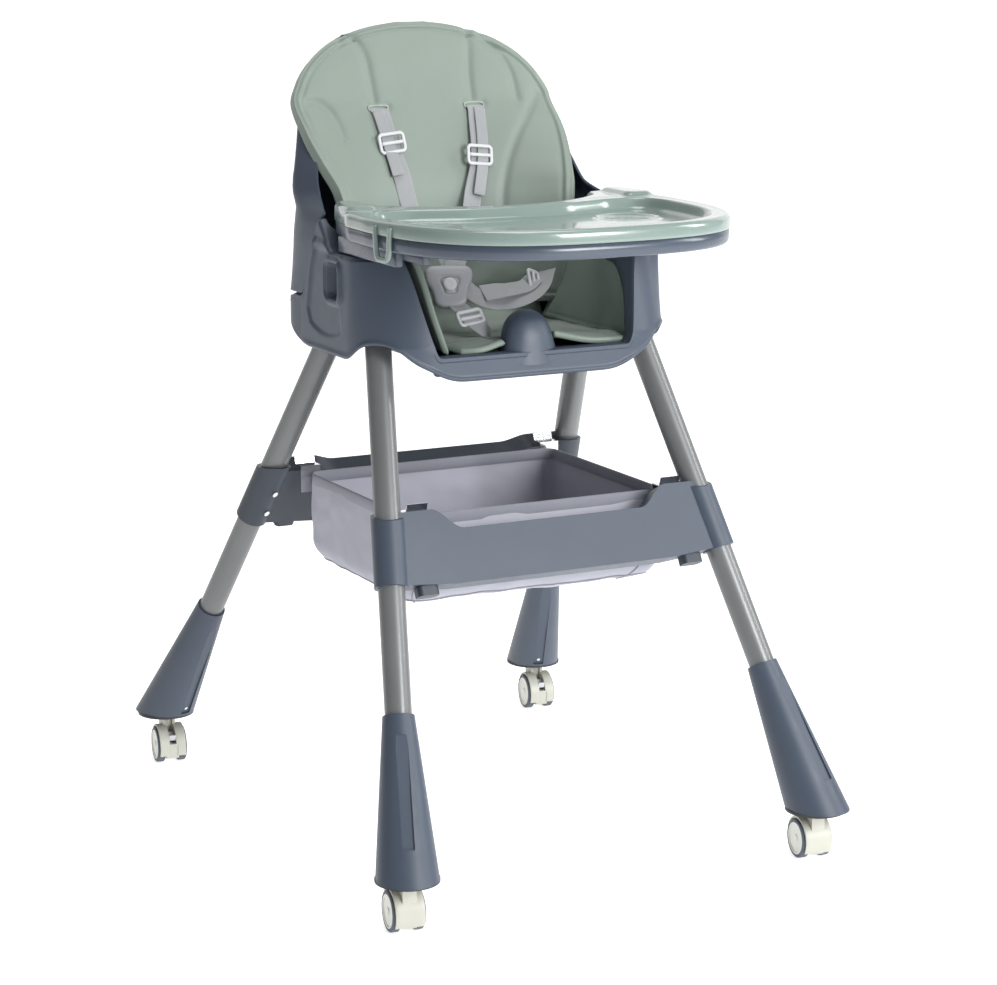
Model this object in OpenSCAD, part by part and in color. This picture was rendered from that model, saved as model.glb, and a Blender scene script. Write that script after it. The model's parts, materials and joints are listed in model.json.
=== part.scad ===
// Baby high chair: moulded seat on four splayed tube legs, sliding tray, reclining
// back, cloth basket and four twin-wheel casters.  The origin is on the floor under
// the middle of the chair, +Z is up and the child looks along -Y.

/* [Legs] */
// Outside diameter of the leg tubes
tube_d = 33; // [26:0.5:38]
// Wall of the leg tubes
tube_wall = 1.5; // [1:0.1:2.5]
// Half of the front track, measured at foot height
front_foot_x = 282; // [220:1:340]
// Distance of the front feet from the middle
front_foot_y = 381; // [320:1:450]
// Half of the rear track, measured at foot height
rear_foot_x = 290; // [220:1:340]
// Distance of the rear feet from the middle
rear_foot_y = 377; // [320:1:450]
// Half of the leg spacing under the seat
leg_top_x = 180; // [165:1:205]
// Distance of the front legs from the middle under the seat
front_top_y = 91; // [80:1:100]
// Distance of the rear legs from the middle under the seat
rear_top_y = 27; // [15:1:45]
// Height of the leg tops
leg_top_z = 668; // [600:1:800]

/* [Feet] */
// Diameter of a foot shell at its top
shell_top_d = 39; // [34:0.5:48]
// Diameter of a foot shell at its bottom rim
shell_base_d = 76; // [60:1:100]
// Height of a foot shell's top
shell_top_z = 240; // [180:1:320]
// Height of a foot shell's bottom rim
shell_base_z = 70; // [62:1:90]

/* [Casters] */
// Diameter of the wheels
wheel_d = 50; // [40:1:56]
// Width of one wheel
wheel_w = 11; // [8:0.5:14]
// Width over both wheels
caster_w = 41; // [34:0.5:50]
// Distance from the swivel axis back to the wheel axle
caster_trail = 15; // [8:0.5:20]
// Angle to which the casters stand turned
caster_turn = 8; // [0:1:20]

/* [Crossbars] */
// Height of the top of the crossbar sleeves
sleeve_top_z = 458; // [400:1:520]
// Length of the crossbar sleeves along the leg
sleeve_len = 90; // [70:1:110]
// Wall of the crossbar sleeves
sleeve_wall = 4.5; // [3:0.5:8]
// Depth of the crossbars from front to back
bar_depth = 28; // [20:1:34]

/* [Seat] */
// Half of the seat shell's width
seat_half_w = 219; // [190:1:240]
// Height from which the seat's own heights are counted
seat_z = 605; // [560:1:740]
// Height of the seat pan's top above the seat's datum
pan_rise = 33; // [25:1:45]
// Distance of the seat's front face from the middle
seat_front_y = 172; // [150:1:200]
// Distance of the seat's rear face from the middle
seat_rear_y = 121; // [105:1:140]
// Wall of the mouldings
shell_wall = 3.5; // [2.5:0.5:6]
// Height of the armrests above the seat's datum
arm_rise = 158; // [130:1:190]
// Height of the crotch post above the seat's datum
post_rise = 85; // [70:1:100]

/* [Back] */
// Height of the back's top above the seat's datum
back_rise = 428; // [340:1:480]
// Half of the back's greatest width
back_half_w = 187; // [150:1:200]
// Thickness of the cushions
cushion_t = 13; // [8:1:20]

/* [Tray] */
// Half of the tray's width
tray_half_w = 229; // [215:1:245]
// Distance of the tray's front edge from the middle
tray_front_y = 386; // [350:1:430]
// Height of the tray top's rim above the seat's datum
tray_rise = 214; // [210:1:235]
// Height of the tray top's edge
tray_rim_h = 18; // [15:1:22]
// Height of the dark tray base
tray_base_h = 18; // [12:1:24]

/* [Basket] */
// Half of the basket's width
basket_half_w = 183; // [140:1:186]
// Distance of the basket's front edge from the middle
basket_front_y = 178; // [120:1:180]
// Distance of the basket's rear edge from the middle
basket_rear_y = 126; // [80:1:150]
// Depth of the basket
basket_depth = 118; // [60:1:140]

/* [Hidden] */
$fn = 48;

SLATE = [0.33, 0.37, 0.44];
SAGE = [0.62, 0.70, 0.64];
TUBE = [0.60, 0.62, 0.63];
CREAM = [0.85, 0.85, 0.80];
WEB = [0.70, 0.70, 0.73];
LILAC = [0.74, 0.74, 0.79];
DARK = [0.16, 0.17, 0.19];
STEEL = [0.80, 0.80, 0.82];

// Clearances
fit = 0.1;           // a piece that seats in another
run = 0.05;          // radial clearance of a turning fit
gap = 0.5;           // between pieces that pass each other

// Corners: front and rear (-1 and +1 along Y), left and right (-1 and +1 along X)
function foot_x(e) = e < 0 ? front_foot_x : rear_foot_x;
function foot_y(e) = e < 0 ? -front_foot_y : rear_foot_y;
function top_y(e) = e < 0 ? -front_top_y : rear_top_y;
foot_ref_z = 90;

// A leg's axis, on the right side, at height z
function along(z) = (z - foot_ref_z) / (leg_top_z - foot_ref_z);
function leg_x(e, z) = foot_x(e) + (leg_top_x - foot_x(e)) * along(z);
function leg_y(e, z) = foot_y(e) + (top_y(e) - foot_y(e)) * along(z);
function leg_dx(e) = leg_top_x - foot_x(e);
function leg_dy(e) = top_y(e) - foot_y(e);
function leg_run(e) = sqrt(pow(leg_dx(e), 2) + pow(leg_dy(e), 2));
function leg_tilt(e) = atan2(leg_run(e), leg_top_z - foot_ref_z);
function leg_turn(e) = atan2(leg_dy(e), leg_dx(e));
function leg_len(e, z0, z1) = (z1 - z0) / cos(leg_tilt(e));

// Puts a right-hand piece on side s
module on_side(s) {
  if (s > 0) children();
  else mirror([1, 0, 0]) children();
}

// Local frame on a leg's axis at height z, local +Z up along the leg
module on_leg(e, s, z) {
  on_side(s) translate([leg_x(e, z), leg_y(e, z), z])
    rotate([0, leg_tilt(e), leg_turn(e)]) children();
}

// A bar of square section between two points
module strut(a, b, w, t) {
  d = b - a;
  translate(a) rotate([0, atan2(norm([d[0], d[1]]), d[2]), atan2(d[1], d[0])])
    translate([-t / 2, -w / 2, 0]) cube([t, w, norm(d)]);
}

// Right-angle arc of points, centre c, radius r, from angle a0 to a1
function arc(c, r, a0, a1, n = 8) =
  [for (i = [0:n]) [c[0] + r * cos(a0 + (a1 - a0) * i / n), c[1] + r * sin(a0 + (a1 - a0) * i / n)]];
function mirrored(p) = [for (i = [len(p) - 1:-1:0]) [-p[i][0], p[i][1]]];

// ---------------------------------------------------------------- leg tubes
split_z = sleeve_top_z - 40;     // upper and lower tubes meet inside the sleeve
socket_depth = 34;               // of a leg top in the seat's socket
tube_foot_z = shell_base_z + 26; // lower end of the lower tube

module tube(e, s, z0, z1) {
  color(TUBE) on_leg(e, s, z0) difference() {
    cylinder(d = tube_d, h = leg_len(e, z0, z1));
    translate([0, 0, -1]) cylinder(d = tube_d - 2 * tube_wall, h = leg_len(e, z0, z1) + 2);
  }
}
module upper_tube(e, s) { tube(e, s, split_z + 0.5, leg_top_z); }
module lower_tube(e, s) { tube(e, s, tube_foot_z, split_z - 0.5); }

// ---------------------------------------------------------------- foot shells
function shell_len(e) = leg_len(e, shell_base_z, shell_top_z);
function shell_slope(e) = (shell_base_d - shell_top_d) / 2 / shell_len(e);
groove_w = 15;
groove_deep = 3;
skin = shell_wall + groove_deep;   // thickness round the hollow
hollow_h = 56;

module foot_shell(e, s) {
  over = 40; // the cone runs on below the rim and is cut level
  slope = shell_slope(e);
  color(SLATE) difference() {
    on_leg(e, s, shell_base_z) difference() {
      translate([0, 0, -over])
        cylinder(r1 = shell_base_d / 2 + slope * over, r2 = shell_top_d / 2, h = shell_len(e) + over);
      // tube socket
      translate([0, 0, leg_len(e, shell_base_z, tube_foot_z)])
        cylinder(d = tube_d + 2 * fit, h = shell_len(e));
      // hollow underneath
      translate([0, 0, -over - 1])
        cylinder(r1 = shell_base_d / 2 + slope * (over + 1) - skin,
                 r2 = shell_base_d / 2 - slope * (hollow_h - 1) - skin, h = over + hollow_h);
      // long tapered grooves, outer and inner side
      for (k = [0, 180]) rotate([0, 0, k]) groove(e, slope);
      // screw hole in the inner groove
      translate([0, 0, 34]) rotate([0, 90, 0]) cylinder(r = screw_r + fit, h = shell_base_d);
    }
    translate([-500, -500, shell_base_z - 300]) cube([1000, 1000, 300]);
  }
}
// A shallow channel cut in the shell's flank, parallel to the flank
module groove(e, slope) {
  flank = atan(slope);
  start = 26;
  translate([-(shell_base_d / 2 - slope * start) + groove_deep, 0, start])
    rotate([0, flank, 0]) translate([-20, -groove_w / 2, 0])
      difference() {
        cube([20, groove_w, shell_len(e) - 2 * start]);
        // the channel fades out towards the top
        translate([0, -1, 60]) rotate([0, -1.5, 0])
          translate([20, 0, 0]) cube([20, groove_w + 2, shell_len(e)]);
      }
}
screw_r = 2.4;
screw_head_r = 4;

module foot_screws() {
  color(STEEL) for (e = [-1, 1], s = [-1, 1]) on_leg(e, s, shell_base_z)
    translate([0, 0, 34]) rotate([0, 90, 0])
      translate([0, 0, shell_base_d / 2 - shell_slope(e) * 34 - 9]) {
        cylinder(r = screw_r, h = 6);
        translate([0, 0, 6]) cylinder(r = screw_r, h = 1);
      }
}

// ---------------------------------------------------------------- foot bases
base_t = 3.5;
stem_r = 5.5;
stem_len = 22;
function base_x(e) = leg_x(e, shell_base_z);
function base_y(e) = leg_y(e, shell_base_z);

module foot_base(e, s) {
  color(DARK) on_side(s) translate([base_x(e), base_y(e), shell_base_z - base_t]) difference() {
    union() {
      cylinder(r = shell_base_d / 2 + 1, h = base_t - fit);
      // stem socket that reaches up into the shell
      cylinder(r = stem_r + 3, h = base_t + stem_len - 4);
    }
    translate([0, 0, -1]) cylinder(r = stem_r + run, h = stem_len - 3);
  }
}

// ---------------------------------------------------------------- casters
hood_w = caster_w - 2 * wheel_w - 1.6;
axle_z = wheel_d / 2;
axle_r = 3;
hood_top_z = shell_base_z - base_t - 1.5;
lever_ax = [0, caster_trail + 7, axle_z + 15];  // lever pivot in the caster's own frame

// Caster frame: on the swivel axis at floor height, the axle behind it along local +Y
module on_caster(e, s) {
  translate([s * base_x(e), base_y(e), 0])
    rotate([0, 0, -caster_turn + (e > 0 ? 180 : 0)]) children();
}

module hood_outline() {
  difference() {
    union() {
      translate([caster_trail, axle_z]) circle(r = wheel_d / 2 + 2.5);
      translate([-9, axle_z + 6]) square([26, hood_top_z - axle_z - 6]);
    }
    // open below, clear of the floor
    translate([-50, -50]) square([100, 50 + 9]);
    // the front of the hood ends above the wheel's front
    translate([-60, -1]) square([60 - 9, 80]);
  }
}

module caster_hood(e, s) {
  color(CREAM) on_caster(e, s) difference() {
    union() {
      translate([-hood_w / 2, 0, 0]) rotate([90, 0, 90]) linear_extrude(hood_w) hood_outline();
      // roof over both wheels
      translate([-caster_w / 2 + 2.5, 0, 0]) rotate([90, 0, 90]) linear_extrude(caster_w - 5)
        roof_outline();
      translate([0, 0, hood_top_z - 1]) cylinder(r = stem_r, h = base_t + stem_len - 6);
      translate([0, 0, hood_top_z - 2]) cylinder(r = 10, h = 3);
    }
    translate([-caster_w, caster_trail, axle_z]) rotate([0, 90, 0])
      cylinder(r = axle_r + run, h = 2 * caster_w);
    // slot and pivot for the brake lever
    translate([-lever_w / 2 - 0.4, lever_ax[1] - 9, lever_ax[2] - 9])
      cube([lever_w + 0.8, 40, 40]);
    translate(lever_ax - [lever_w, 0, 0]) rotate([0, 90, 0])
      cylinder(r = lever_pin_r + run, h = 2 * lever_w);
  }
}
module roof_outline() {
  difference() {
    intersection() {
      translate([caster_trail, axle_z]) circle(r = wheel_d / 2 + 3.5);
      translate([-30, axle_z + 4]) square([90, 60]);
    }
    translate([caster_trail, axle_z]) circle(r = wheel_d / 2 + 1);
    translate([-40, -1]) square([40 - 8, 80]);
  }
}
module axle(e, s) {
  color(STEEL) on_caster(e, s) translate([-caster_w / 2 + 3, caster_trail, axle_z])
    rotate([0, 90, 0]) cylinder(r = axle_r, h = caster_w - 6);
}
tread_t = 4.5;
module wheel_place(k) {
  x = k < 0 ? -caster_w / 2 : caster_w / 2 - wheel_w;
  translate([x, caster_trail, axle_z]) rotate([0, 90, 0]) children();
}
module wheel_hubs(e, s) {
  color(CREAM) on_caster(e, s) for (k = [-1, 1]) wheel_place(k) difference() {
    cylinder(r = wheel_d / 2 - tread_t, h = wheel_w);
    // blind axle bore, open towards the hood
    translate([0, 0, k < 0 ? 3 - fit : -1]) cylinder(r = axle_r, h = wheel_w - 3 + 1 + fit);
    // dished outer face
    translate([0, 0, k < 0 ? -1 : wheel_w - 1]) difference() {
      cylinder(r = wheel_d / 2 - tread_t - 2, h = 2);
      translate([0, 0, -1]) cylinder(r = 5, h = 4);
    }
  }
}
module tyres(e, s) {
  color(SLATE) on_caster(e, s) for (k = [-1, 1]) wheel_place(k) rotate_extrude($fn = 64)
    difference() {
      translate([wheel_d / 2 - tread_t, 0]) square([tread_t, wheel_w]);
      // rounded shoulders
      for (v = [0, 1]) translate([wheel_d / 2, v * wheel_w]) rotate([0, 0, 45])
        square(2, center = true);
    }
}
lever_w = 9;
lever_pin_r = 1.5;
module brake_lever(e, s) {
  color(CREAM) on_caster(e, s) translate(lever_ax) {
    translate([-lever_w / 2, 0, 0]) rotate([90, 0, 90]) linear_extrude(lever_w) union() {
      circle(r = 3.5);
      translate([0, -3]) square([16, 4.5]);
      translate([14, -4.5]) square([3, 7]);
    }
    translate([-lever_w / 2 - 3, 0, 0]) rotate([0, 90, 0])
      cylinder(r = lever_pin_r, h = lever_w + 6);
  }
}

// ---------------------------------------------------------------- crossbars
sleeve_r = tube_d / 2 + sleeve_wall;
function sleeve_low_z(e) = sleeve_top_z - sleeve_len * cos(leg_tilt(e));
sleeve_mid_z = sleeve_top_z - sleeve_len / 2;
function bar_low_z(e) = sleeve_low_z(e) - 6;
// How far the bar's top dips between the sleeves
function bar_dip(e) = e < 0 ? 27 : 10;
// Angle at which a crossbar leans with its legs about the X axis
function bar_lean(e) = atan2(leg_dy(e), leg_top_z - foot_ref_z);
// Distance up the leaning bar for a height z
function up_bar(e, z) = (z - sleeve_mid_z) / cos(bar_lean(e));

// Front view of a crossbar, from sleeve to sleeve
module bar_outline(e) {
  top = up_bar(e, sleeve_top_z);
  low = up_bar(e, bar_low_z(e));
  dip = bar_dip(e);
  end_top = leg_x(e, sleeve_top_z) - 9;
  end_low = leg_x(e, sleeve_low_z(e)) - 9;
  polygon(concat([[-end_top, top]],
    [for (i = [0:8]) [-165 + i * 5, top - dip * (1 - cos(180 * i / 8)) / 2]],
    [for (i = [0:8]) [125 + i * 5, top - dip * (1 + cos(180 * i / 8)) / 2]],
    [[end_top, top], [end_low, low + 6], [150, low], [-150, low], [-end_low, low + 6]]));
}
module on_bar(e) {
  translate([0, leg_y(e, sleeve_mid_z), sleeve_mid_z]) rotate([-bar_lean(e), 0, 0]) children();
}
cell = 40;          // width of a hollow between two ribs
rib = 4;
module crossbar(e) {
  low = up_bar(e, bar_low_z(e)) + shell_wall;
  high = up_bar(e, sleeve_top_z) - bar_dip(e) - shell_wall;
  // hollow towards the basket
  open_y = e < 0 ? shell_wall - bar_depth / 2 : -bar_depth;
  color(SLATE) difference() {
    union() {
      on_bar(e) difference() {
        translate([0, bar_depth / 2, 0]) rotate([90, 0, 0]) linear_extrude(bar_depth) bar_outline(e);
        for (i = [-3:3]) translate([(i - 0.5) * (cell + rib) + rib / 2, open_y, low])
          cube([cell, 1.5 * bar_depth - shell_wall, high - low]);
      }
      for (s = [-1, 1]) sleeve(e, s);
    }
    // bores for the tubes
    for (s = [-1, 1]) on_leg(e, s, sleeve_low_z(e)) translate([0, 0, -60])
      rotate([0, 0, 90]) cylinder(d = tube_d + 2 * fit, h = sleeve_len + 160);
    // screw holes through the sleeves' inner side
    for (s = [-1, 1], h = sleeve_screws_at) on_leg(e, s, sleeve_low_z(e))
      translate([0, 0, h]) rotate([0, 90, 0]) cylinder(r = screw_r + fit, h = 1.5 * sleeve_r);
  }
}
// Round a leg tube, cut level at the top and square at the bottom
module sleeve(e, s) {
  intersection() {
    on_leg(e, s, sleeve_low_z(e)) rotate([0, 0, 90]) cylinder(r = sleeve_r, h = sleeve_len + 40);
    translate([s * leg_x(e, sleeve_mid_z) - 80, leg_y(e, sleeve_mid_z) - 80, sleeve_top_z - 160])
      cube([160, 160, 160]);
  }
}
sleeve_screws_at = [24, 58];
module sleeve_screws() {
  color(STEEL) for (e = [-1, 1], s = [-1, 1], h = sleeve_screws_at)
    on_leg(e, s, sleeve_low_z(e)) translate([0, 0, h]) rotate([0, 90, 0])
      translate([0, 0, tube_d / 2 + 2 * fit]) {
        cylinder(r = screw_r, h = sleeve_wall);
        translate([0, 0, sleeve_wall]) cylinder(r = screw_head_r, h = 2);
      }
}
module frame_screws() {
  sleeve_screws();
  foot_screws();
}
plug_w = 28;
plug_x = 186;
plug_h = 9;
module crossbar_plugs() {
  color(SLATE) for (e = [-1, 1], s = [-1, 1]) on_bar(e) difference() {
    translate([s * plug_x, 0, up_bar(e, bar_low_z(e)) - plug_h]) linear_extrude(plug_h + 3)
      polygon(rounded_pts(plug_w, plug_w * 0.7, 6));
    translate([0, bar_depth / 2, 0]) rotate([90, 0, 0]) linear_extrude(bar_depth) bar_outline(e);
  }
}

// ---------------------------------------------------------------- seat shell
pan_z = seat_z + pan_rise;          // top of the seat pan
arm_z = seat_z + arm_rise;          // top of the armrests
apron_z = seat_z + 6;                // lower edge of the front apron
skirt_z = seat_z + 30;              // lower edge of the side skirts
front_r = 90;                        // plan corners
rear_r = 40;
front_lean = 34;                     // how far the front wall leans back at the armrests
wing_t = 3;                          // thickness of the back's outer wall
lower_half_w = seat_half_w - 1 - wing_t - gap;  // shell behind the seam
lower_rear_y = seat_rear_y - 10;
bucket_w = 152;                      // half width of the inner bucket at the pan
bucket_flare = 13;                   // how far its walls lean out at the armrests
bucket_rear_y = 76;
pivot_y = 78;                        // recline axis
recline_max = 15;                    // degrees that the back leans further back
pivot_z = seat_z + 112;
seam_top = [3, seat_z + 201];     // seam between the seat's side panel and the back
seam_low = [48, seat_z + 102];

// Plan outline of the skirt, half width w, front f, rear b, corners q and r
function plan(w, f, b, q, r) = concat(
  arc([w - r, b - r], r, 0, 90), mirrored(arc([w - r, b - r], r, 0, 90)),
  arc([-(w - q), -(f - q)], q, 180, 270), arc([w - q, -(f - q)], q, 270, 360));
// Side view of the skirt: rear bottom corner rounded
module side_view(top, rear, front) {
  r = 90;
  polygon(concat([[-front, seat_z - 3], [-front, skirt_z + 20],
    [-front + front_lean * (top - skirt_z - 20) / (arm_z - skirt_z - 20), top], [rear, top]],
    arc([rear - r, skirt_z + r], r, 0, -90, 10), [[-60, skirt_z], [-82, skirt_z + 8],
    [-96, skirt_z + 8], [-96, seat_z - 3]]));
}
// The same view of the hollow inside, open below
module hollow_view(top, rear, front) {
  polygon([[-front, seat_z - 4], [-front, skirt_z + 20],
    [-front + front_lean * (top - skirt_z - 20) / (arm_z - skirt_z - 20), top], [rear, top],
    [rear, seat_z - 4]]);
}
module seat_hollow(top, inset) {
  intersection() {
    translate([0, 0, seat_z - 6]) linear_extrude(top - seat_z + 6)
      polygon(plan(seat_half_w - inset, seat_front_y - inset, seat_rear_y - inset,
        front_r - inset, rear_r - inset));
    rotate([90, 0, 90]) translate([0, 0, -300]) linear_extrude(600)
      hollow_view(top, seat_rear_y - inset, seat_front_y - inset);
  }
}
module skirt_block(w, f, b, top, inset) {
  intersection() {
    translate([0, 0, seat_z - 2]) linear_extrude(top - seat_z + 2)
      polygon(plan(w - inset, f - inset, b - inset, front_r - inset, rear_r - inset));
    rotate([90, 0, 90]) translate([0, 0, -300]) linear_extrude(600)
      side_view(top, b - inset, f - inset);
  }
}
// What is cut from the apron's lower edge, front view
module apron_cut() {
  for (s = [-1, 1]) mirror([s < 0 ? 1 : 0, 0]) polygon(concat(
    [[-1, seat_z - 20], [-1, apron_z], [100, apron_z]],
    [for (i = [0:8]) [112 + 9 * i, apron_z + 40 * (1 - cos(180 * i / 8)) / 2]],
    [[seat_half_w + 30, skirt_z + 13], [seat_half_w + 30, seat_z - 20]]));
}
rail_w = 26;       // slide rail on each armrest
rail_x = 190;
rail_h = 9;
rail_y0 = -160;
rail_y1 = -48;
button_y = -41;
button_z = seat_z + 122;
button_w = 38;
button_in = 24;      // depth of the recess below the side panel
button_travel = 4;
button_stem_r = 4;

module seat_shell() {
  color(SLATE) difference() {
    union() {
      // side skirts and front apron
      difference() {
        union() {
          difference() {
            skirt_block(seat_half_w, seat_front_y, seat_rear_y, arm_z, 0);
            // ends at the seam with the back
            rotate([90, 0, 90]) translate([0, 0, -300]) linear_extrude(600)
              polygon([[seam_low[0] - 2 + (arm_z - seam_low[1]) * (seam_top[0] - seam_low[0]) /
                (seam_top[1] - seam_low[1]), arm_z + 1], [seam_low[0] - 2, seam_low[1]],
                [seam_low[0] - 2, seat_z + wing_low - gap],
                // room for the back's lower edge, which swings down as it reclines
                [pivot_y - 2, seat_z + wing_low - gap],
                [300, seat_z + wing_low - gap - (302 - pivot_y) * tan(recline_max + 1)],
                [300, arm_z + 1]]);
          }
          skirt_block(lower_half_w, seat_front_y - 4, lower_rear_y, arm_z - 40, 0);
        }
        seat_hollow(arm_z - shell_wall, shell_wall + 5);
        translate([-300, -seat_front_y + shell_wall, seat_z - 3])
          cube([600, 90, skirt_z - seat_z + 4]);
        // lower edge of the apron and the arches over the front legs
        translate([0, -60, 0]) rotate([90, 0, 0]) linear_extrude(200) apron_cut();
        for (s = [-1, 1]) translate([s * 196, -138, skirt_z - 8]) rotate([90, 0, s * 39])
          translate([0, 0, -16]) cylinder(r = 42, h = 60);
      }
      // inner bucket
      intersection() {
        translate([0, bucket_rear_y, 0]) rotate([90, 0, 0])
          linear_extrude(bucket_rear_y + seat_front_y - shell_wall) bucket_outline(shell_wall);
        skirt_block(seat_half_w, seat_front_y, seat_rear_y, arm_z, 1);
      }
      // sockets for the legs
      for (e = [-1, 1], s = [-1, 1]) on_leg(e, s, leg_top_z - socket_depth * 0.6)
        cylinder(r = tube_d / 2 + 4, h = socket_depth * 0.6 + 8);
      // webs that tie the rear sockets to the side panels
      for (s = [-1, 1]) on_side(s) translate([leg_top_x, rear_top_y, leg_top_z - 22])
        cube([seat_half_w - 5 - leg_top_x, 12, 34]);
      // slide rails
      for (s = [-1, 1]) translate([s * rail_x - rail_w / 2, rail_y0, arm_z - 1])
        cube([rail_w, rail_y1 - rail_y0, rail_h + 1]);
      crotch_post();
      // button frames on the side panels
      for (s = [-1, 1]) on_side(s) translate([seat_half_w - button_in - 8, button_y, button_z])
        rotate([90, 0, 90]) linear_extrude(button_in + 9.5)
          polygon(rounded_pts(button_w + 12, button_w + 18, 12));
    }
    // bucket's inside
    translate([0, bucket_rear_y - shell_wall, 0]) rotate([90, 0, 0])
      linear_extrude(bucket_rear_y + seat_front_y - 2 * shell_wall) bucket_outline(0);
    // front opening above the apron
    translate([0, -60, 0]) rotate([90, 0, 0]) linear_extrude(200)
      polygon([[-142, pan_z + 7], [142, pan_z + 7], [160, arm_z + 1], [-160, arm_z + 1]]);
    // the back moves here
    translate([-bucket_w - bucket_flare, 20, pan_z + 50]) cube([2 * (bucket_w + bucket_flare), 200, 200]);
    // bores for the legs
    for (e = [-1, 1], s = [-1, 1]) on_leg(e, s, leg_top_z) translate([0, 0, -120])
      cylinder(d = tube_d + 2 * fit, h = 120 + fit);
    // recline pin holes
    for (s = [-1, 1]) translate([s * (seat_half_w - 30), pivot_y, pivot_z]) rotate([0, 90, 0])
      cylinder(r = pin_r + fit, h = 80, center = true);
    // recesses for the buttons
    for (s = [-1, 1]) on_side(s) translate([seat_half_w - button_in, button_y, button_z])
      rotate([90, 0, 90]) {
        linear_extrude(60) polygon(rounded_pts(button_w - 8, button_w + 4, 5));
        translate([0, 0, -20]) cylinder(r = button_stem_r + run, h = 30);
      }
    // slot for the crotch strap
    translate([-13, -112, pan_z - 20]) cube([26, 4, 40]);
  }
}
function rounded_pts(w, d, r) = concat(arc([w / 2 - r, d / 2 - r], r, 0, 90),
  arc([-w / 2 + r, d / 2 - r], r, 90, 180), arc([-w / 2 + r, -d / 2 + r], r, 180, 270),
  arc([w / 2 - r, -d / 2 + r], r, 270, 360));
module bucket_outline(t) {
  polygon([[-bucket_w - t, pan_z - t], [bucket_w + t, pan_z - t],
    [bucket_w + bucket_flare + t, arm_z + (t > 0 ? 0 : 1)],
    [-bucket_w - bucket_flare - t, arm_z + (t > 0 ? 0 : 1)]]);
}
post_w = 33;
module crotch_post() {
  hull() for (h = [0, 0.35, 0.65, 0.88, 1])
    translate([0, -seat_front_y + 24, pan_z - 4 + h * (seat_z + post_rise - pan_z + 4)])
      linear_extrude(0.01) polygon([for (a = [0:15:345])
        [post_w * sqrt(1.02 - h * h) * cos(a), 23.5 * sqrt(1.02 - h * h) * sin(a)]]);
}

// ---------------------------------------------------------------- side buttons
module side_button(s) {
  color(SLATE) on_side(s) translate([seat_half_w - button_in, button_y, button_z])
    rotate([90, 0, 90]) {
      translate([0, 0, button_travel + 1]) linear_extrude(10)
        polygon(rounded_pts(button_w - 8 - 2 * gap, button_w + 4 - 2 * gap, 4.5));
      translate([0, 0, -3]) cylinder(r = button_stem_r, h = button_travel + 5);
    }
}
pin_r = 5;
module recline_pins() {
  color(STEEL) for (s = [-1, 1]) on_side(s)
    translate([lower_half_w - 14, pivot_y, pivot_z]) rotate([0, 90, 0])
      cylinder(r = pin_r, h = seat_half_w - lower_half_w + 14);
}

// ---------------------------------------------------------------- back
back_top_z = seat_z + back_rise;
// Heights on the back count up from the seat's datum; the list shapes follow
function bz(z) = (z - seat_z) * 428 / back_rise;
wing_low = 95;

// Half width, front edge and middle of the back's outer wall
function shell_w(z) = lookup(bz(z), [[wing_low, seat_half_w + 2], [207, seat_half_w + 3],
  [217, seat_half_w - 3], [225, seat_half_w - 7], [261, seat_half_w - 13], [293, back_half_w + 10],
  [324, back_half_w - 8], [334, back_half_w - 7],
  [357, back_half_w - 19], [379, back_half_w - 37], [399, back_half_w - 64],
  [414, back_half_w - 100], [421, 45]]);
function shell_front(z) = lookup(bz(z), [[wing_low, seam_low[0] + 8], [102, seam_low[0]],
  [201, seam_top[0]], [210, 25], [222, 54], [261, 80], [293, 113], [324, 147],
  [357, 168], [379, 179], [399, 186], [421, 195]]);
// How much the wings draw in towards their front edge
function shell_tuck(z) = lookup(bz(z), [[201, 0.987], [217, 0.885], [261, 0.884], [293, 0.945],
  [324, 0.97], [334, 1]]);
function shell_mid(z) = lookup(bz(z), [[wing_low, seat_rear_y + 3], [250, seat_rear_y + 18],
  [319, 168], [380, 192], [421, 211]]);
// Middle of the cushion's front face
function pad_mid(z) = lookup(bz(z), [[60, 58], [200, 100], [319, 143], [380, 166], [428, 186]]);
function pad_w(z) = lookup(bz(z), [[67, back_half_w - 42], [175, back_half_w - 27],
  [222, back_half_w - 19], [261, back_half_w - 7], [293, back_half_w - 1], [329, back_half_w],
  [357, back_half_w - 12], [379, back_half_w - 30], [399, back_half_w - 57],
  [414, back_half_w - 90], [424, 52], [428, 22]]);
// How far the cushion's wings come forward of its middle
function pad_wing(z) = lookup(bz(z), [[67, 45], [150, 62], [222, 66], [261, 48], [293, 27],
  [329, 2], [357, 0], [428, -4]]);

// A bent sheet between two surfaces: points [x, y, z] over u in 0..1 and v in 0..1
module sheet(nu, nv, front, rear) {
  pts = [for (f = [front, rear], j = [0:nv], i = [0:nu]) f(i / nu, j / nv)];
  n1 = nu + 1;
  n2 = n1 * (nv + 1);
  quads = concat(
    [for (j = [0:nv - 1], i = [0:nu - 1]) let (a = j * n1 + i) [a, a + n1, a + n1 + 1, a + 1]],
    [for (j = [0:nv - 1], i = [0:nu - 1]) let (a = n2 + j * n1 + i) [a, a + 1, a + n1 + 1, a + n1]],
    [for (i = [0:nu - 1]) [i, i + 1, n2 + i + 1, n2 + i]],
    [for (i = [0:nu - 1]) let (a = nv * n1 + i) [a, n2 + a, n2 + a + 1, a + 1]],
    [for (j = [0:nv - 1]) let (a = j * n1) [a, n2 + a, n2 + a + n1, a + n1]],
    [for (j = [0:nv - 1]) let (a = j * n1 + nu) [a, a + n1, n2 + a + n1, n2 + a]]);
  polyhedron(pts, [for (q = quads, t = [[q[0], q[1], q[2]], [q[0], q[2], q[3]]]) t]);
}
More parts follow.
